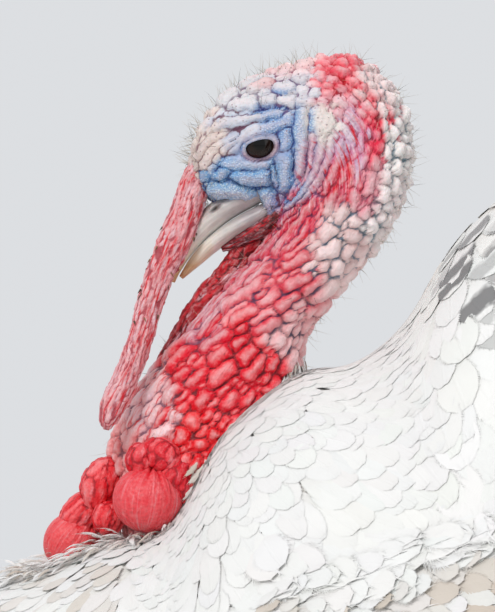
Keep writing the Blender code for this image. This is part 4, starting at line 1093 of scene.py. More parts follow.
def upper_shape(c, s):
    """A ridged culmen over straight cutting edges, with a flat palate."""
    return c * (1 - 0.30 * np.maximum(-s, 0) ** 2), np.minimum(s, 0.93)


def lower_shape(c, s):
    """A shallow trough, flat on top."""
    return c * (1 - 0.18 * np.maximum(s, 0) ** 2), np.maximum(s, -0.80)


horn_piece("bill_upper_horn", UPPER_BILL, 180, 96, "bill_upper", shape=upper_shape)
horn_piece("bill_lower_horn", LOWER_BILL, 140, 72, "bill_lower", shape=lower_shape)

# --- claws and spurs ----------------------------------------------------------
# Blunt claws of the same horn, worn flat under the tip, grow from the toes. Behind each shank the tom has a
# short conical spur that curves up.
CLAW_LENGTH, SPUR_LENGTH = 0.017, 0.022
# Share of its length from the toe's end, half width and height of the middle as shares of the toe's.
CLAW = ((-0.25, 0.56, 0.86), (0.25, 0.52, 0.88), (0.6, 0.38, 0.76), (0.85, 0.22, 0.52), (1.0, 0.08, 0.22))
SPUR = ((-0.2, 0.0052), (0.3, 0.0046), (0.65, 0.0030), (1.0, 0.0008))      # share of its length, half width

for side, word in ((-1, "left"), (1, "right")):
    for toe, turn, length, thick in TOES:
        run, line = toe_run(side, turn), []
        for i, (share, wide, high) in enumerate(CLAW):
            x, y, _ = FOOT * (1, side, 0) + run * length + run * CLAW_LENGTH * share
            deep = thick * wide * 0.9
            line.append((i, x, y, max(thick * high + 0.0006, deep), thick * wide, deep))
        horn_piece(f"claw_horn_{word}_{toe}", np.array(line), 30, 24, f"claw_{word}_{toe}", 1.0)
    root = HOCK + (FOOT - HOCK) * 0.62
    line = [(i, root[0] + SPUR_LENGTH * share, side * (root[1] - 0.003 * share), root[2] + 0.006 * share**2,
             wide, wide) for i, (share, wide) in enumerate(SPUR)]
    horn_piece(f"spur_horn_{word}", np.array(line), 30, 24, f"spur_{word}", 0.5)

# --- hair-like feathers and the beard -----------------------------------------
# Fine bristle feathers, a millimetre or two to a centimetre long, stand all over the bare skin, dark round the
# ear and mouth. From the breast hangs the beard: a switch of coarse black bristles bound at its root.
hair_luck = np.random.default_rng(21)


# Keratin bristles, smooth and faintly glossy, each a little darker or paler along its length.
keratin_bristle, tree, shader = finish("keratin_bristle", 0.42, IOR=1.54)
hair_in = add(tree, "Attribute", {}, attribute_name="flesh").outputs["Color"]
streaks = add(tree, "TexNoise", {"Vector": add(tree, "TexCoord", {}).outputs["Object"],
                                 "Scale": patches(2.0)})
surfaced(tree, shader, varied(tree, hair_in, streaks, 0.7, 1.3))


def strands(name, roots, ways, lengths, widths, droop, code, shades, sides=3, steps=6):
    """Tapered curved strands as one mesh; droop pulls each tip along a vector, shades scales its colour."""
    n, s = len(roots), np.linspace(0, 1, steps)
    line = roots[:, None] + ways[:, None] * (lengths[:, None] * s)[..., None] + droop[:, None] * (s**2)[:, None]
    run = unit(np.gradient(line, axis=1))
    across = unit(np.cross(run, np.array((0.31, 0.42, 0.85))))
    turn = np.arange(sides) * 2 * math.pi / sides
    ring = across[:, :, None] * np.cos(turn)[:, None] + np.cross(run, across)[:, :, None] * np.sin(turn)[:, None]
    radius = (widths[:, None] * (1 - 0.92 * s**1.5))[..., None, None] / 2
    points = (line[:, :, None] + ring * radius).reshape(-1, 3)
    faces = (grid_faces(steps, sides)[None] + (np.arange(n) * steps * sides)[:, None, None]).reshape(-1, 4)
    made = new_object(name, new_mesh(name, points, faces))
    colours = np.clip(code * shades, 0, 1)
    vertex_values(made.data, "flesh", "FLOAT_COLOR", np.repeat(colours, steps * sides, axis=0))
    made.data.materials.append(keratin_bristle)
    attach(made, "root")
    return made


t, around = hair_luck.uniform(1.0, 17.6, 9000), hair_luck.uniform(-math.pi, math.pi, 9000)
place, along, turned, out = slopes(neck_point, t, around)
back, up = (place[:, 0] - EYE[0]) / MILLI, (place[:, 2] - EYE[2]) / MILLI
by_eye = np.hypot(back, up) < 11
mouth = (np.hypot((back - 2) / 7, (up + 30) / 6) < 1) & ~by_eye
ear = np.hypot(back - 27, up - 8) < 5
nape = (np.abs(np.sin(around)) < 0.45) & (np.cos(around) > 0)
chance = np.where(mouth, 0.75, np.where(ear, 0.30, np.where(nape, 0.34, 0.09))) * ~by_eye
chance *= np.interp(t, (1, 5, 8), (0.25, 0.6, 1.0))
picked = hair_luck.random(len(t)) < chance
way = unit(out + unit(along) * hair_luck.normal(-0.25, 0.5, (len(t), 1))
           + unit(turned) * hair_luck.normal(0, 0.5, (len(t), 1)))
length = np.where(mouth | ear, hair_luck.uniform(2, 5, len(t)), hair_luck.uniform(2.5, 9.0, len(t))) * MILLI
dark = mouth | ear | (hair_luck.random(len(t)) < 0.15)
tint = np.where(dark[:, None], linear("2c221e"), linear("b8aa96"))
shade = hair_luck.uniform(0.7, 1.15, (len(t), 1))
strands("bristle_feathers", (place + out * 0.4 * MILLI)[picked], way[picked], length[picked],
        np.where(dark, 0.20, 0.16)[picked] * MILLI, hair_luck.normal(0, 1.2, (picked.sum(), 3)) * MILLI,
        tint[picked], shade[picked])

# The beard hangs from the middle of the breast and curves back towards the legs.
n = 340
spot = np.sqrt(hair_luck.random(n))[:, None]
turn = hair_luck.uniform(0, 2 * math.pi, n)
spot = spot * np.stack((np.cos(turn), np.sin(turn)), -1)
root = (-0.2405, 0, 0.372) + np.stack((spot[:, 0] * 3.0, spot[:, 1] * 4.5, 3 * spot[:, 0]), -1) * MILLI
length = hair_luck.uniform(0.120, 0.182, n)
way = unit(np.stack((-0.085 + 0.012 * spot[:, 0], 0.022 * spot[:, 1] + hair_luck.normal(0, 0.006, n),
                     -np.ones(n)), -1))
droop = np.stack((0.016 + hair_luck.normal(0, 0.0015, n), spot[:, 1] * 0.004, 0 * length), -1)
beard = strands("beard_bristles", root, way, length, np.full(n, 0.75 * MILLI), droop, linear("1c1a1a"),
                hair_luck.uniform(0.7, 1.8, (n, 1)), 3, 14)
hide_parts("beard")

# Crumbs of dry earth and chaff cling along the snood's upper part.
n = 70
t, around = hair_luck.uniform(2.2, 5.6, n), hair_luck.normal(0.2, 1.3, n)
place, along, turned, out = slopes(tube_surface(SNOOD), t, around)
way = unit(unit(along) + out * 0.25 + unit(turned) * hair_luck.normal(0, 0.8, (n, 1)))
strands("litter_crumbs", place - out * 0.1 * MILLI, way, hair_luck.uniform(0.8, 2.6, n) * MILLI,
        hair_luck.uniform(0.5, 1.1, n) * MILLI, np.zeros((n, 3)), linear("6a4a32"),
        hair_luck.uniform(0.5, 1.8, (n, 1)), 5, 4)

# --- the plumage's form and its feathers --------------------------------------
# The feathers lie on one smooth form: trunk, folded wings, thighs and the raised coverts of the tail. A
# feather is a thin curved vane either side of a shaft, whose free barbs fringe its edge.
TAIL_ROOT, TAIL_LEAN = np.array((0.232, 0.0, 0.432)), math.radians(9)
FAN_CUP = 0.16      # how fast the fan bends forwards away from its middle
FAN_UP = np.array((math.sin(TAIL_LEAN), 0.0, math.cos(TAIL_LEAN)))
FAN_BACK = np.cross((0, 1.0, 0), FAN_UP)
TAIL_FEATHERS = 18
VANE_STEP = 0.0014      # how far each tail feather stands behind the one before it


def fan_frame(angle):
    """Outward and sideways directions in the raised fan at angles from upright."""
    c, s = np.cos(angle)[..., None], np.sin(angle)[..., None]
    return FAN_UP * c + np.array((0, 1.0, 0)) * s, np.array((0, 1.0, 0)) * c - FAN_UP * s


def cupped(place):
    """The whole fan is a shallow cup, open towards the head."""
    return place - FAN_BACK * FAN_CUP * place[..., 1:2] ** 2


def covert_dome(way, radius, spread, thick):
    """The half disc of coverts before, way -1, or behind the tail, thick at its root and thin at its rim."""
    share, angle = np.linspace(0, 1, 14), np.radians(np.linspace(-spread, spread, 60))
    start = VANE_STEP * TAIL_FEATHERS + 0.0012 if way > 0 else -0.0012
    outward, _ = fan_frame(angle[:, None] * np.ones(28))
    reach = np.concatenate((share, share[::-1]))
    body = np.concatenate((0 * share, thick * (1 - share[::-1]) ** 0.8 + 0.0012))
    place = TAIL_ROOT + outward * (0.012 + (radius - 0.012) * reach)[None, :, None]
    return cupped(place + FAN_BACK * (start + way * body)[None, :, None]).reshape(-1, 3)


x, angle = grid_of(np.linspace(-0.2478, 0.2368, 110), 96)
trunk_form = trunk_surface(x, angle)
# The breast is a little hollow under the wattles.
trunk_form[:, 2] -= 7 * MILLI * np.clip((-0.140 - x) / 0.025, 0, 1) * np.clip(np.cos(angle), 0, 1)
form = new_object("plumage_form", new_mesh("plumage_form", *capped(trunk_form, 110, 96)))
for side in (-1, 1):
    boolean(form, wing_pad(side, (0.16, 0.5, 0.78, 0.96), 0, 20 * MILLI), "UNION")
    thigh = leg_line(HIP, HOCK - (0.002, 0, 0.004), side, (
        (0.0, 0.052, 0.063), (0.25, 0.048, 0.059), (0.5, 0.037, 0.045), (0.72, 0.024, 0.029),
        (0.9, 0.015, 0.018), (1.0, 0.0116, 0.0142)))
    boolean(form, lofted(tube_surface(thigh), 0.0, 1.0, 30, 40), "UNION")
for dome in (covert_dome(-1, 0.225, 96, 0.062), covert_dome(1, 0.150, 104, 0.040)):
    boolean(form, capped(dome, 60, 28), "UNION")
step = form.modifiers.new("even", "REMESH")
step.mode, step.voxel_size = "VOXEL", 0.0045
step = form.modifiers.new("soften", "SMOOTH")
step.factor, step.iterations = 0.5, 6
settle(form)
form_points = mesh_points(form.data).astype(float)
form.data.calc_loop_triangles()
form_faces = np.empty(len(form.data.loop_triangles) * 3, np.int32)
form.data.loop_triangles.foreach_get("vertices", form_faces)
form_faces = form_faces.reshape(-1, 3)
bpy.data.objects.remove(form)
form_tree = BVHTree.FromPolygons(form_points.tolist(), form_faces.tolist())
corners = form_points[form_faces]
form_normals = np.cross(corners[:, 1] - corners[:, 0], corners[:, 2] - corners[:, 0])
form_areas = np.linalg.norm(form_normals, axis=1) / 2
form_normals /= np.maximum(form_areas[:, None] * 2, 1e-12)
point_normals = np.zeros_like(form_points)
for k in range(3):
    np.add.at(point_normals, form_faces[:, k], form_normals * form_areas[:, None])
point_normals = unit(point_normals)


def onto_form(points):
    """The nearest places on the form and its smooth normals there."""
    hits = [form_tree.find_nearest(p) for p in points.tolist()]
    place = np.array([tuple(h[0]) for h in hits])
    tri = form_faces[[h[2] for h in hits]]
    near = 1 / np.maximum(np.linalg.norm(form_points[tri] - place[:, None], axis=2), 1e-5)
    normal = (point_normals[tri] * near[..., None]).sum(1)
    return place, unit(normal)


neck_shape = lofted(neck_point, -1.4, 6.0, 60, 40)
neck_tree = BVHTree.FromPolygons(*(part.tolist() for part in neck_shape))


def outside_neck(points):
    """How far places lie outside the bare neck; negative within it."""
    out = []
    for p in points.tolist():
        hit, normal, _, _ = neck_tree.find_nearest(p)
        off = Vector(p) - hit
        out.append(off.length * (1 if off.dot(normal) > 0 else -1))
    return np.array(out)


# Under the outer feathers a close layer of white down fills the coat, 1.8 mm inside the form and nearly level
# with it where it meets the bare neck.
down_depth = np.interp(outside_neck(form_points), (0.003, 0.016), (0.5, 1.8)) * MILLI
down_points = form_points - point_normals * down_depth[:, None]
down_layer = new_object("down_layer", new_mesh("down_layer", down_points, form_faces))


class Plumes:
    """Feathers as midlines on the form: place, side and normal at each station, with their traits."""

    def __init__(self, middles, sides, normals, halves, **traits):
        self.middles, self.sides, self.normals = middles, sides, normals
        self.halves, self.traits = np.zeros(len(middles)) + halves, traits
        for key in ("root", "tip", "cup", "bend", "band"):
            traits[key] = np.zeros(len(middles)) + traits.get(key, 0)

    def at(self, s, w):
        """Places on the vanes: s (n, k) runs from root to tip and may pass it, w (n, k) across."""
        top = self.middles.shape[1] - 1
        k = np.clip(np.floor(s * top).astype(int), 0, top - 1)
        u = (s * top - k)[..., None]
        rows = np.arange(len(s))[:, None]
        middle, side, normal = (a[rows, k] * (1 - u) + a[rows, k + 1] * u
                                for a in (self.middles, self.sides, self.normals))
        half = self.halves[:, None] * self.profile(s)
        root, tip, cup, bend = (self.traits[key][:, None] for key in ("root", "tip", "cup", "bend"))
        lift = root * (1 - np.minimum(s, 1)) + tip * np.maximum(s, 0) ** 2 - cup * half * w**2
        return middle + normal * lift[..., None] + side * (half * w + bend * s**2)[..., None]

    def profile(self, s):
        """Half width along a vane: narrow at its root, fullest past the middle, round at the tip."""
        past = np.maximum(s - 0.62, 0) / 0.40
        return np.minimum(0.16 + 1.5 * np.maximum(s, 0), 1) * np.sqrt(np.maximum(1 - past**2, 0.02))

    def some(self, pick):
        """The picked feathers."""
        return Plumes(self.middles[pick], self.sides[pick], self.normals[pick], self.halves[pick],
                      **{key: value[pick] for key, value in self.traits.items()})


# White feather: keratin full of air, matt and bright, with a paler shaft, barbs coarser than real ones, so
# that they show, a grey downy root, and on the rearmost back a dark band inside a white edge.
BARB_WAVES = 330.0      # radians of barbs in a feather's length: 0.7 mm apart on most of them
white_feather, tree, shader = finish("white_feather", 0.72, IOR=1.5, Sheen_Weight=0.15, Sheen_Roughness=0.5)
vane_in = add(tree, "Attribute", {}, attribute_name="vane").outputs["Vector"]
plume_in = add(tree, "Attribute", {}, attribute_name="plume").outputs["Color"]
s_in, w_in, band_in = add(tree, "SeparateXYZ", {0: vane_in}).outputs
place_in = add(tree, "TexCoord", {}).outputs["Object"]
waver = add(tree, "TexNoise", {"Vector": place_in, "Scale": patches(6.667), "Detail": 3.0}).outputs["Fac"]
from_shaft = add(tree, "Math", {0: w_in}, operation="ABSOLUTE")
slant = add(tree, "Math", {0: from_shaft, 1: -0.34, 2: s_in}, operation="MULTIPLY_ADD")
slant = add(tree, "Math", {0: waver, 1: 0.05, 2: slant}, operation="MULTIPLY_ADD")
barb = add(tree, "Math", {0: slant, 1: BARB_WAVES}, operation="MULTIPLY")
barb = add(tree, "Math", {0: barb}, operation="SINE")
colour = varied(tree, plume_in, barb, 0.955, 1.0, -1.0)
colour = wash(tree, colour, rgba("efede9"), s_in, 0.42, 0.12, 0.55)
edge_at = add(tree, "Math", {0: waver, 1: 0.22, 2: s_in}, operation="MULTIPLY_ADD")
inside = add(tree, "MapRange", {"Value": edge_at, "From Min": 1.03, "From Max": 0.97})
inside = add(tree, "Math", {0: inside, 1: band_in}, operation="MULTIPLY")
colour = wash(tree, colour, rgba("2b2a30"), edge_at, 0.64, 0.74, 1.0, inside)
shaft = add(tree, "MapRange", {"Value": from_shaft, "From Min": 0.10, "From Max": 0.03})
relief = add(tree, "Math", {0: barb, 1: 0.25, 2: shaft}, operation="MULTIPLY_ADD")
surfaced(tree, shader, colour, relief, 0.45, 0.0004)


def vane_mesh(name, plumes, stations, columns, barbs, fray, seed):
    """One mesh of all the plumes: a grid for each vane and a fringe of barbs along its outer edge."""
    luck = np.random.default_rng(seed)
    n = len(plumes.middles)
    s, w = np.meshgrid(np.linspace(0, 1, stations) ** 0.85, np.linspace(-1, 1, columns), indexing="ij")
    s, w = np.tile(s.ravel(), (n, 1)), np.tile(w.ravel(), (n, 1))
    quads = grid_faces(stations, columns, False)
    faces = [np.concatenate((quads[:, [0, 1, 2]], quads[:, [0, 2, 3]]))]
    all_s, all_w, count = [s], [w], stations * columns
    half_barbs = barbs // 2
    reach = np.full(n, fray)[:, None]
    for way in (-1, 1):
        base = np.linspace(0.30, 1.0, half_barbs + 1)[None] * np.ones((n, 1))
        base[:, 1:-1] += luck.normal(0, 0.006, (n, half_barbs - 1))
        tip_share = np.clip((base[:, :-1] + base[:, 1:]) / 2, 0, 1)
        out = reach * luck.uniform(0.25, 1.0, (n, half_barbs))
        tip_s = tip_share + out * (0.35 + 0.9 * np.maximum(tip_share - 0.6, 0))
        near_tip = np.clip((tip_share - 0.88) / 0.12, 0, 1)
        tip_w = way * (1 + out * 1.7) * (1 - 0.55 * near_tip)
        all_s += [base, tip_s]
        all_w += [np.full_like(base, way * 0.985), tip_w]
        first, tips = count + np.arange(half_barbs), count + half_barbs + 1 + np.arange(half_barbs)
        faces.append(np.stack((first, first + 1, tips) if way > 0 else (first + 1, first, tips), -1))
        count += 2 * half_barbs + 1
    s, w = np.concatenate(all_s, 1), np.concatenate(all_w, 1)
    faces = (np.concatenate(faces)[None] + (np.arange(n) * count)[:, None, None]).reshape(-1, 3)
    mesh = new_mesh(name, plumes.at(s, w).reshape(-1, 3), faces)
    made = new_object(name, mesh)
    mesh.materials.append(white_feather)
    band = plumes.traits["band"][:, None] * np.ones_like(s)
    vertex_values(mesh, "vane", "FLOAT_VECTOR", np.stack((s, w, band), -1).reshape(-1, 3))
    vertex_values(mesh, "plume", "FLOAT_COLOR", np.repeat(plumes.traits["colour"], count, axis=0))
    spot = plumes.traits["spot"]
    # Each feather is a patch of about 0.003 each way at its root's place.
    uv = np.stack((spot[:, :1] + np.clip(w, -1.3, 1.3) * 0.0011, spot[:, 1:] + np.clip(s, 0, 1.2) * 0.0025), -1)
    corner = np.empty(len(mesh.loops), np.int32)
    mesh.loops.foreach_get("vertex_index", corner)
    layer = mesh.uv_layers.new(name="OFBake")
    layer.data.foreach_set("uv", uv.reshape(-1, 2)[corner].astype(np.float32).ravel())
    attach(made, "root")
    return made


def along_skin(run, normal):
    """Ways laid flat on a surface with these normals."""
    return unit(run - normal * (run * normal).sum(1, keepdims=True))


def body_spot(points):
    """Where a root lies on the trunk's unwrap: along it, and round it from its top line."""
    middle = curve_through(TRUNK, np.clip(points[:, 0], TRUNK[0, 0], TRUNK[-1, 0]))[:, 1]
    turn = np.arctan2(points[:, 1], points[:, 2] - middle) / (2 * math.pi) + 0.5
    return np.stack((0.01 + 0.98 * np.clip((points[:, 0] + 0.26) / 0.66, 0, 1), 0.01 + 0.97 * turn), -1)


def grow(roots, run, length, half, stations=6, lie=None, **traits):
    """Lays midlines on the form from their roots; run is each feather's way there, lie turns it on its way."""
    place, normal = onto_form(roots)
    middles, normals, runs = [place], [normal], []
    run = along_skin(run, normal)
    for _ in range(stations - 1):
        runs.append(run)
        place, normal = onto_form(place + run * (length / (stations - 1))[:, None])
        if lie is not None:
            run = run * 0.75 + lie(place, normal) * 0.25
        run = along_skin(run, normal)
        middles.append(place)
        normals.append(normal)
    runs.append(run)
    middles, normals, runs = (np.stack(a, 1) for a in (middles, normals, runs))
    return Plumes(middles, unit(np.cross(runs, normals)), normals, half, spot=body_spot(roots), **traits)


# Down: loose soft barbs without hooks, a matt white felt with tufts 2 mm across.
white_down, tree, shader = finish("white_down", 0.95, IOR=1.5, Sheen_Weight=0.3)
down_place = add(tree, "TexCoord", {}).outputs["Object"]
felt = add(tree, "TexNoise", {"Vector": down_place, "Scale": patches(2.0), "Detail": 4.0}).outputs["Fac"]
surfaced(tree, shader, varied(tree, rgba("efece7"), felt, 0.85, 1.1), felt, 0.8, 0.001)
down_layer.data.materials.append(white_down)
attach(down_layer, "root")
spots = body_spot(form_points)[form_faces.ravel()]
first = np.repeat(spots[::3, 1], 3)      # a face across the unwrap's seam stays on its first corner's side
spots[:, 1] = np.where(np.abs(spots[:, 1] - first) > 0.5, first, spots[:, 1])
down_layer.data.uv_layers.new(name="OFBake").data.foreach_set("uv", spots.astype(np.float32).ravel())

# --- the coat -----------------------------------------------------------------
# Contour feathers shingle the body: small at the collar, long on breast and flanks. They hang down over
# breast and shoulders, run back over the wings and fan out over the tail's root.
COAT_FOOT = 0.155      # bare shanks begin below this level
feather_luck = np.random.default_rng(11)
NECK_FOOT = np.array((-0.112, 0.0, 0.455))


def feather_lie(place, normal):
    """The way the feathers lie at each place."""
    x = place[:, 0]
    back = np.interp(x, (-0.24, -0.16, -0.05, 0.05, 0.14, 0.22), (0.10, 0.16, 0.34, 0.70, 1.3, 1.6))
    run = np.stack((back, 0 * x, -np.ones(len(x))), -1)
    top = np.clip(normal[:, 2], 0, 1) ** 2
    run[:, 0] += 1.2 * top * (x > -0.10)
    run[:, 0] -= 0.9 * top * (x < -0.13)
    run += np.stack((0 * x, 0.7 * np.sign(place[:, 1]) * top, 0 * x), -1)
    tail = unit(place - TAIL_ROOT + (0.02, 0, 0.02))
    behind = np.clip((x - 0.185) / 0.05, 0, 1)[:, None] * np.clip((place[:, 2:3] - 0.40) / 0.05, 0, 1)
    run = unit(run) * (1 - behind) + tail * behind
    pad = np.hypot((x - PAD_CENTRE[0] - 0.02) / 0.16, (place[:, 2] - PAD_CENTRE[1]) / 0.10)
    on_wing = np.clip((1.1 - pad) / 0.3, 0, 1)[:, None] * (np.abs(place[:, 1:2]) > 0.12)
    run = run * (1 - on_wing) + np.array((1.0, 0, -0.28)) * on_wing
    away = place - NECK_FOOT
    near = np.clip(1 - (np.linalg.norm(away, axis=1, keepdims=True) - 0.04) / 0.06, 0, 1)
    run = run + unit(away) * near * 0.9
    return along_skin(run, normal)


def spread_roots(spacing, tries, keep):
    """Even random places on the form: spacing gives how far apart they stay at each place."""
    pick = feather_luck.choice(len(form_areas), tries, p=form_areas / form_areas.sum())
    a, b = feather_luck.random((2, tries, 1))
    flip = (a + b) > 1
    a, b = np.where(flip, 1 - a, a), np.where(flip, 1 - b, b)
    tri = corners[pick]
    places = tri[:, 0] + (tri[:, 1] - tri[:, 0]) * a + (tri[:, 2] - tri[:, 0]) * b
    ok = keep(places)
    places, gap = places[ok], spacing(places[ok])
    boxes, kept = Boxes(0.02), []
    for i, (p, reach) in enumerate(zip(places.tolist(), gap.tolist())):
        if all(off >= min(reach, other) ** 2 for off, other in boxes.near(*p)):
            boxes.add(*p, reach)
            kept.append(i)
    return places[kept]


def near_neck(p):
    """How far places are from the neck's foot."""
    return np.linalg.norm((p - NECK_FOOT) * (1, 0.9, 1), axis=1)


def over_edge(p):
    """How far places lie above the near cape's lower edge, and whether they are near it."""
    edge_line = np.interp(p[:, 0], (-0.075, -0.06, -0.026, -0.005, 0.016, 0.06),
                          (0.425, 0.4205, 0.431, 0.4415, 0.456, 0.470))
    return p[:, 2] - edge_line, (p[:, 1] < -0.04) & (p[:, 0] > -0.085) & (p[:, 0] < 0.05)


def below_edge(p):
    """Whether places are among the browned side feathers just below the near cape."""
    above, on_side = over_edge(p)
    return on_side & (above < 0.004) & (above > -0.05)


def root_gap(p):
    """How far apart feathers are set: 3 mm at the collar, 9 mm on most of the body, less below the cape."""
    gap = np.interp(near_neck(p), (0.03, 0.07, 0.13, 0.2), (3.2, 4.6, 6.8, 9.4)) * MILLI
    return gap * np.where(p[:, 1] > 0.02, 1.2, 1.0) * np.where(below_edge(p), 0.5, 1.0)


roots = spread_roots(root_gap, 140000, lambda p: outside_neck(p) > -0.002)
roots = roots[roots[:, 2] > COAT_FOOT]
n = len(roots)
_, root_normal = onto_form(roots)
run = feather_lie(roots, root_normal)
gap = root_gap(roots)
length = gap * np.interp(gap, (0.003, 0.005, 0.010), (4.6, 4.8, 4.9)) * feather_luck.uniform(0.85, 1.15, n)
half = gap * np.interp(gap, (0.003, 0.010), (0.95, 1.20)) * feather_luck.uniform(0.85, 1.15, n)
turn = feather_luck.normal(0, 0.12, n) + feather_luck.normal(0, 0.30, n) * (near_neck(roots) < 0.06)
run = unit(run + np.cross(root_normal, run) * turn[:, None])

# The near cape's lower edge stands proud of side feathers browned partly by stain and partly with painted
# shadow under that edge; soft tufts crowd under the throat, browned with painted shadow under the wattles.
above, on_side = over_edge(roots)
messy = (roots[:, 0] < -0.13) & (near_neck(roots) < 0.10)
fringe = on_side & (above > 0.002) & (above < 0.036)
length = np.where(fringe, np.minimum(length, 1.25 * above + 0.008), length)
half = np.minimum(half, 0.34 * length)
stained_and_shaded = below_edge(roots)
tip = feather_luck.uniform(-0.0003, 0.0001, n) + 0.0014 * fringe * feather_luck.uniform(0.5, 1.1, n)
tip += stained_and_shaded * feather_luck.uniform(0.0, 0.0006, n)
tip += messy * feather_luck.uniform(0, 0.0006, n)
white = linear("f6f6f4")
colour = white * feather_luck.uniform(0.96, 1.0, (n, 1)) * (1 + feather_luck.normal(0, 0.006, (n, 3)))
# Brown on the feathers: stain and painted shadow under the cape's edge, painted shadow on the tufts under the
# throat, and more of it towards the bottom, below 0.30 m.
soil_and_shade = np.clip(stained_and_shaded * feather_luck.uniform(-0.2, 0.75, n) + messy * feather_luck.uniform(-0.6, 0.5, n), 0, 1)
soil_and_shade += 0.25 * np.clip((0.30 - roots[:, 2]) / 0.1, 0, 1)
colour = colour * (1 - soil_and_shade[:, None]) + linear("c9b49c") * soil_and_shade[:, None]
# Back and rump are banded, and the foremost feathers of the back here and there.
x, z = roots[:, 0], roots[:, 2]
band = ((x > 0.035) & (root_normal[:, 2] > 0.25) & (z > 0.55)) | ((x > 0.19) & (z > 0.46))
band = band * feather_luck.uniform(0.75, 1.0, n)
foremost = (x > -0.032) & (x <= 0.035) & (root_normal[:, 2] > 0.58) & (z > 0.546)
band = np.maximum(band, foremost * feather_luck.uniform(0.25, 0.85, n))
traits = dict(root=-np.where(stained_and_shaded, 0.060, 0.022) * length, tip=tip, cup=feather_luck.uniform(0.015, 0.05, n),
              bend=feather_luck.normal(0, 0.05, n) * length, band=band, colour=np.clip(colour, 0, 1),
              fray=np.where(fringe | stained_and_shaded, 0.34, 0.11))
coat = grow(roots, run, length, half, lie=feather_lie, **traits)
near_front = (roots[:, 1] <= 0.0) & (near_neck(roots) < 0.19)
zones = {"cape_left": near_front, "coat_left": (roots[:, 1] <= 0.0) & ~near_front,
         "coat_right": roots[:, 1] > 0.0}
for number, (word, zone) in enumerate(zones.items()):
    plumes = coat.some(zone)
    barbs = 56 if word == "cape_left" else 20
    piece = vane_mesh(f"{word}_feathers", plumes, 8, 5, barbs, plumes.traits["fray"], 20 + number)
    if word == "coat_left":
        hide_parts("wing_left_coverts", "tail_coverts_upper", "tail_coverts_under")
    if word == "coat_right":
        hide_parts("wing_right_coverts")

# --- collar -------------------------------------------------------------------
# Small soft feathers edge the plumage where it meets the bare neck and lie away from it. Ruffled tufts stand
# at the nape's foot and in the hollow under the wattles.
COLLAR_SPACING, TUFT_SPACING = 1.1 * MILLI, 2.6 * MILLI


def standing(name, place, run, out, length, share, colour, fray, seed):
    """Free soft feathers that rise from their roots and bow over; share is half width by length."""
    steps = np.linspace(0, 1, 6)[None, :, None]
    bow = out[:, None] * (0.14 * length[:, None, None] * np.sin(steps * math.pi))
    side_way = unit(np.cross(run, out))[:, None] * np.ones((1, 6, 1))
    soft = Plumes(place[:, None] + run[:, None] * steps * length[:, None, None] + bow, side_way,
                  unit(np.cross(side_way, run[:, None])), length * share, cup=0.3,
                  bend=feather_luck.normal(0, 0.1, len(place)) * length, colour=colour, spot=body_spot(place))
    vane_mesh(name, soft, 6, 3, 24, fray, seed)


def soft_colour(n, browned_share):
    """White for n feathers, a share of them browned, which on the tufts under the wattles is painted shadow."""
    fresh = linear("faf9f7") * feather_luck.uniform(0.95, 1.0, (n, 1))
    soil_and_shade = (feather_luck.random(n) < browned_share)[:, None] * feather_luck.uniform(0.2, 0.7, (n, 1))
    return fresh * (1 - soil_and_shade) + linear("bfa88c") * soil_and_shade


place = spread_roots(lambda p: np.full(len(p), COLLAR_SPACING), 700000,
                     lambda p: (near_neck(p) < 0.09) & (np.abs(outside_neck(p) - 0.002) < 0.005))
n = len(place)
_, out = onto_form(place)
run = feather_lie(place, out)
run = unit(run + np.cross(out, run) * feather_luck.normal(0, 0.22, (n, 1)))
length = feather_luck.uniform(0.0045, 0.008, n)
edging = grow(place, run, length, 0.20 * length, stations=4, root=-0.0002,
              tip=feather_luck.uniform(-0.0001, 0.0003, n), cup=0.04,
              bend=feather_luck.normal(0, 0.1, n) * length, colour=soft_colour(n, 0.04))
vane_mesh("collar_feathers", edging, 5, 3, 20, 0.4, 31)

t, around = feather_luck.uniform(-1.2, 5.0, 40000), feather_luck.uniform(-math.pi, math.pi, 40000)
place = neck_point(t, around, -0.5 * MILLI)
above_form = np.array([(Vector(p) - h[0]).dot(h[1]) for p, h in
                       ((p, form_tree.find_nearest(p)) for p in place.tolist())])
nape = np.cos(around) > 0.80
picked = (above_form > -0.003) & (above_form < 0.0008 + feather_luck.gamma(1.6, 0.0012, len(t)))
picked &= feather_luck.random(len(t)) < np.where(nape, 0.75, 0.03)
place, t, around = place[picked], t[picked], around[picked]
n = len(place)
_, along, turned, out = slopes(neck_point, t, around)
run = unit(unit(turned) * feather_luck.normal(0, 0.45, (n, 1)) - unit(along)
           + out * feather_luck.uniform(0.05, 0.45, (n, 1)))
standing("nape_tufts", place, run, out, feather_luck.uniform(0.004, 0.010, n), 0.11, soft_colour(n, 0.30),
         0.6, 33)
# In the hollow under the wattles about a third of the tufts are browned, as painted shadow under the wattles.
place = spread_roots(lambda p: np.full(len(p), TUFT_SPACING), 160000,
                     lambda p: (p[:, 0] > -0.178) & (p[:, 0] < -0.112) & (np.abs(p[:, 1]) < 0.034)
                     & (p[:, 2] > 0.385) & (outside_neck(p) > -0.001))
n = len(place)
_, out = onto_form(place)
run = unit(feather_lie(place, out) * 0.9 + out * feather_luck.uniform(0.0, 0.24, (n, 1))
           + feather_luck.normal(0, 0.22, (n, 3)))
standing("throat_tufts", place, run, out, feather_luck.uniform(0.008, 0.015, n), 0.075, soft_colour(n, 0.35),
         0.7, 32)

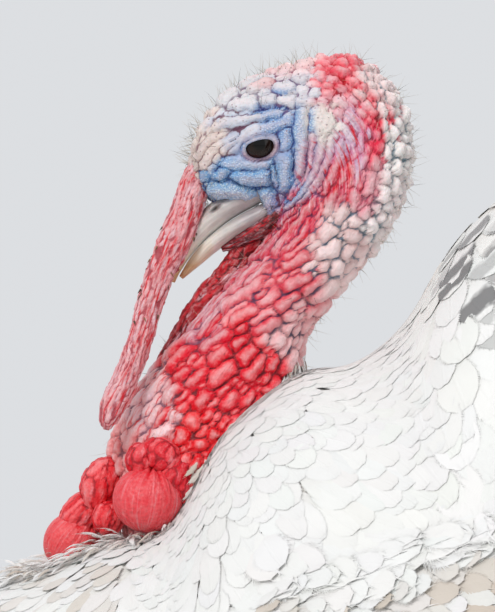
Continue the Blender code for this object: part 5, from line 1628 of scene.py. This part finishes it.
# --- tail ---------------------------------------------------------------------
# Eighteen broad stiff feathers raised in a fan, each white with a dark band inside its white tip. They
# overlap like slats from the middle outwards.
TAIL_LENGTH, TAIL_SPREAD, TAIL_HALF_WIDTH = 0.372, math.radians(93), 0.0385
index = np.arange(TAIL_FEATHERS)
angle = TAIL_SPREAD * (2 * index / (TAIL_FEATHERS - 1) - 1)
outward, sideways = fan_frame(angle)
depth = VANE_STEP * (2 * np.abs(index - (TAIL_FEATHERS - 1) / 2) + np.where(angle < 0, 0, 1))
share = np.linspace(0, 1, 24)
middle = TAIL_ROOT + outward[:, None] * (0.022 + (TAIL_LENGTH + 0.004) * share)[None, :, None]
middle = middle + FAN_BACK * depth[:, None, None]


class TailPlumes(Plumes):
    """Tail feathers, widest near their square tips."""

    def profile(self, s):
        return np.interp(s, (0.0, 0.35, 0.70, 0.90, 0.955, 0.985, 1.0),
                         (0.10, 0.43, 0.85, 1.0, 0.93, 0.72, 0.40))

    def at(self, s, w):
        return cupped(super().at(s, w))


tail = TailPlumes(middle, -sideways[:, None] * np.ones((1, 24, 1)), -FAN_BACK * np.ones((TAIL_FEATHERS, 24, 1)),
                  TAIL_HALF_WIDTH, cup=0.03, band=1, colour=np.tile(linear("f3f2ef"), (TAIL_FEATHERS, 1)),
                  spot=np.stack((0.955 + 0 * index, 0.02 + 0.05 * index), -1))
piece = vane_mesh("tail_fan_feathers", tail, 60, 13, 240, 0.035, 41)
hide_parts(*[f"tail_feather_{i + 1:02d}" for i in index])

# --- flight feathers ----------------------------------------------------------
# The drooped wings of a strutting tom: eight primaries and ten secondaries a side, stepped like slats, their
# tips just clear of the floor.
PRIMARY_SHARE = 0.40      # how much of the wing's edge the primaries take
# Along that edge: share, x, y, z of the feathers' tips.
WING_TIPS = np.array((
    (0.00, -0.012, 0.196, 0.014),
    (0.20, 0.048, 0.204, 0.020),
    (0.40, 0.106, 0.208, 0.058),
    (0.60, 0.166, 0.206, 0.124),
    (0.80, 0.216, 0.190, 0.206),
    (1.00, 0.246, 0.160, 0.310),
))


def wing_point(u, v, lift):
    """u runs along the wing from its foremost primary, v from root to tip of each feather."""
    x0, z0 = pad_place(np.radians(205 + 148 * u), 0.80)
    x1, y1, z1 = np.moveaxis(curve_through(WING_TIPS, np.clip(u, 0, 1).ravel()).reshape(*u.shape, 3), -1, 0)
    x, z = x0 + (x1 - x0) * v, z0 + (z1 - z0) * v
    y = np.maximum(trunk_side(x.ravel(), z.ravel()).reshape(x.shape) + 0.0035, y1 - (1 - v) * 0.030)
    return np.stack((x, y + lift, z), -1)


class WingPlumes(Plumes):
    """Flight feathers, each a slat of the wing's own surface."""

    def profile(self, s):
        return np.interp(s, (0.0, 0.2, 0.85, 0.95, 0.985, 1.0), (0.5, 0.9, 1.0, 0.85, 0.6, 0.3))

    def at(self, s, w):
        t = self.traits
        across = t["u"][:, None] + t["du"][:, None] * w * self.profile(s)
        place = wing_point(across, s * (1 - 0.03 * w**2), 0.0022 - 0.0016 * w - 0.0006 * w**2)
        return place * (1, self.side, 1)


for side, word in ((-1, "left"), (1, "right")):
    for part, low, high, count in (("primaries", 0.0, PRIMARY_SHARE - 0.006, 8),
                                   ("secondaries", PRIMARY_SHARE, 1.0, 10)):
        u = low + (high - low) * (np.arange(count) + 0.5) / count
        empty = np.zeros((count, 2, 3))
        wing = WingPlumes(empty, empty, empty, 1.0, u=u, du=np.full(count, (high - low) / count * 0.62),
                          colour=np.tile(linear("eeece8"), (count, 1)),
                          spot=np.stack((0.975 + 0 * u, 0.02 + 0.4 * u + (0.5 if side > 0 else 0)), -1))
        wing.side = side
        piece = vane_mesh(f"wing_{word}_{part}_feathers", wing, 50, 9, 160, 0.03, 50 + count)
        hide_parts(f"wing_{word}_{part}")
# --- camera and studio --------------------------------------------------------
# The bird is seen square from its left at the height of its head, through a long lens. It stands on a plain
# pale floor in soft light from all round, with a large soft box before it, one beside and one behind.
VIEW_MIDDLE = np.array((-0.0820, 0.0, 0.5460)) + BIRD_TO_FRAME
VIEW_HEIGHT, VIEW_FROM = 0.2570, 2.6
camera = bpy.data.objects.new("camera", bpy.data.cameras.new("camera"))
bpy.context.scene.collection.objects.link(camera)
camera.location = VIEW_MIDDLE + (0, -VIEW_FROM, 0)
camera.rotation_euler = (math.pi / 2, 0, 0)
camera.data.sensor_width = 36.0
camera.data.lens = 36.0 * VIEW_FROM / VIEW_HEIGHT
camera.data.clip_end = 50
bpy.context.scene.camera = camera
bpy.context.scene.view_settings.view_transform = "Standard"

floor = new_object("studio_floor", new_mesh("studio_floor", np.array(
    [(-6, -6, 0), (6, -6, 0), (6, 6, 0), (-6, 6, 0)]), [(0, 1, 2, 3)]))
# Matt painted board, a little uneven over a hand's breadth.
pale_floor, tree, shader = finish("pale_floor", 0.85)
floor_place = add(tree, "TexCoord", {}).outputs["Object"]
uneven = add(tree, "TexNoise", {"Vector": floor_place, "Scale": 9.0})
surfaced(tree, shader, varied(tree, rgba("dcdad6"), uneven, 0.97, 1.03))
floor.data.materials.append(pale_floor)

world = bpy.data.worlds.new("studio_air")
bpy.context.scene.world = world
world.use_nodes = True
air = world.node_tree.nodes["Background"].inputs
air["Color"].default_value, air["Strength"].default_value = (0.90, 0.92, 0.95, 1), 0.80


def area_light(name, place, aim, size, watts, colour):
    """A square soft box that looks from place at aim."""
    lamp = bpy.data.lights.new(name, "AREA")
    lamp.energy, lamp.size, lamp.color = watts, size, colour
    obj = bpy.data.objects.new(name, lamp)
    bpy.context.scene.collection.objects.link(obj)
    obj.location = place
    obj.rotation_euler = (Vector(aim) - Vector(place)).to_track_quat("-Z", "Y").to_euler()


area_light("key_soft_box", (-0.9, -1.5, 2.0), (-0.08, 0, 0.55), 0.7, 22, (1.0, 0.98, 0.95))
area_light("fill_soft_box", (1.6, -1.2, 1.0), (0, 0, 0.5), 1.4, 6, (0.93, 0.96, 1.0))
area_light("rim_soft_box", (0.6, 1.6, 1.6), (-0.05, 0, 0.6), 0.8, 8, (1.0, 1.0, 1.0))
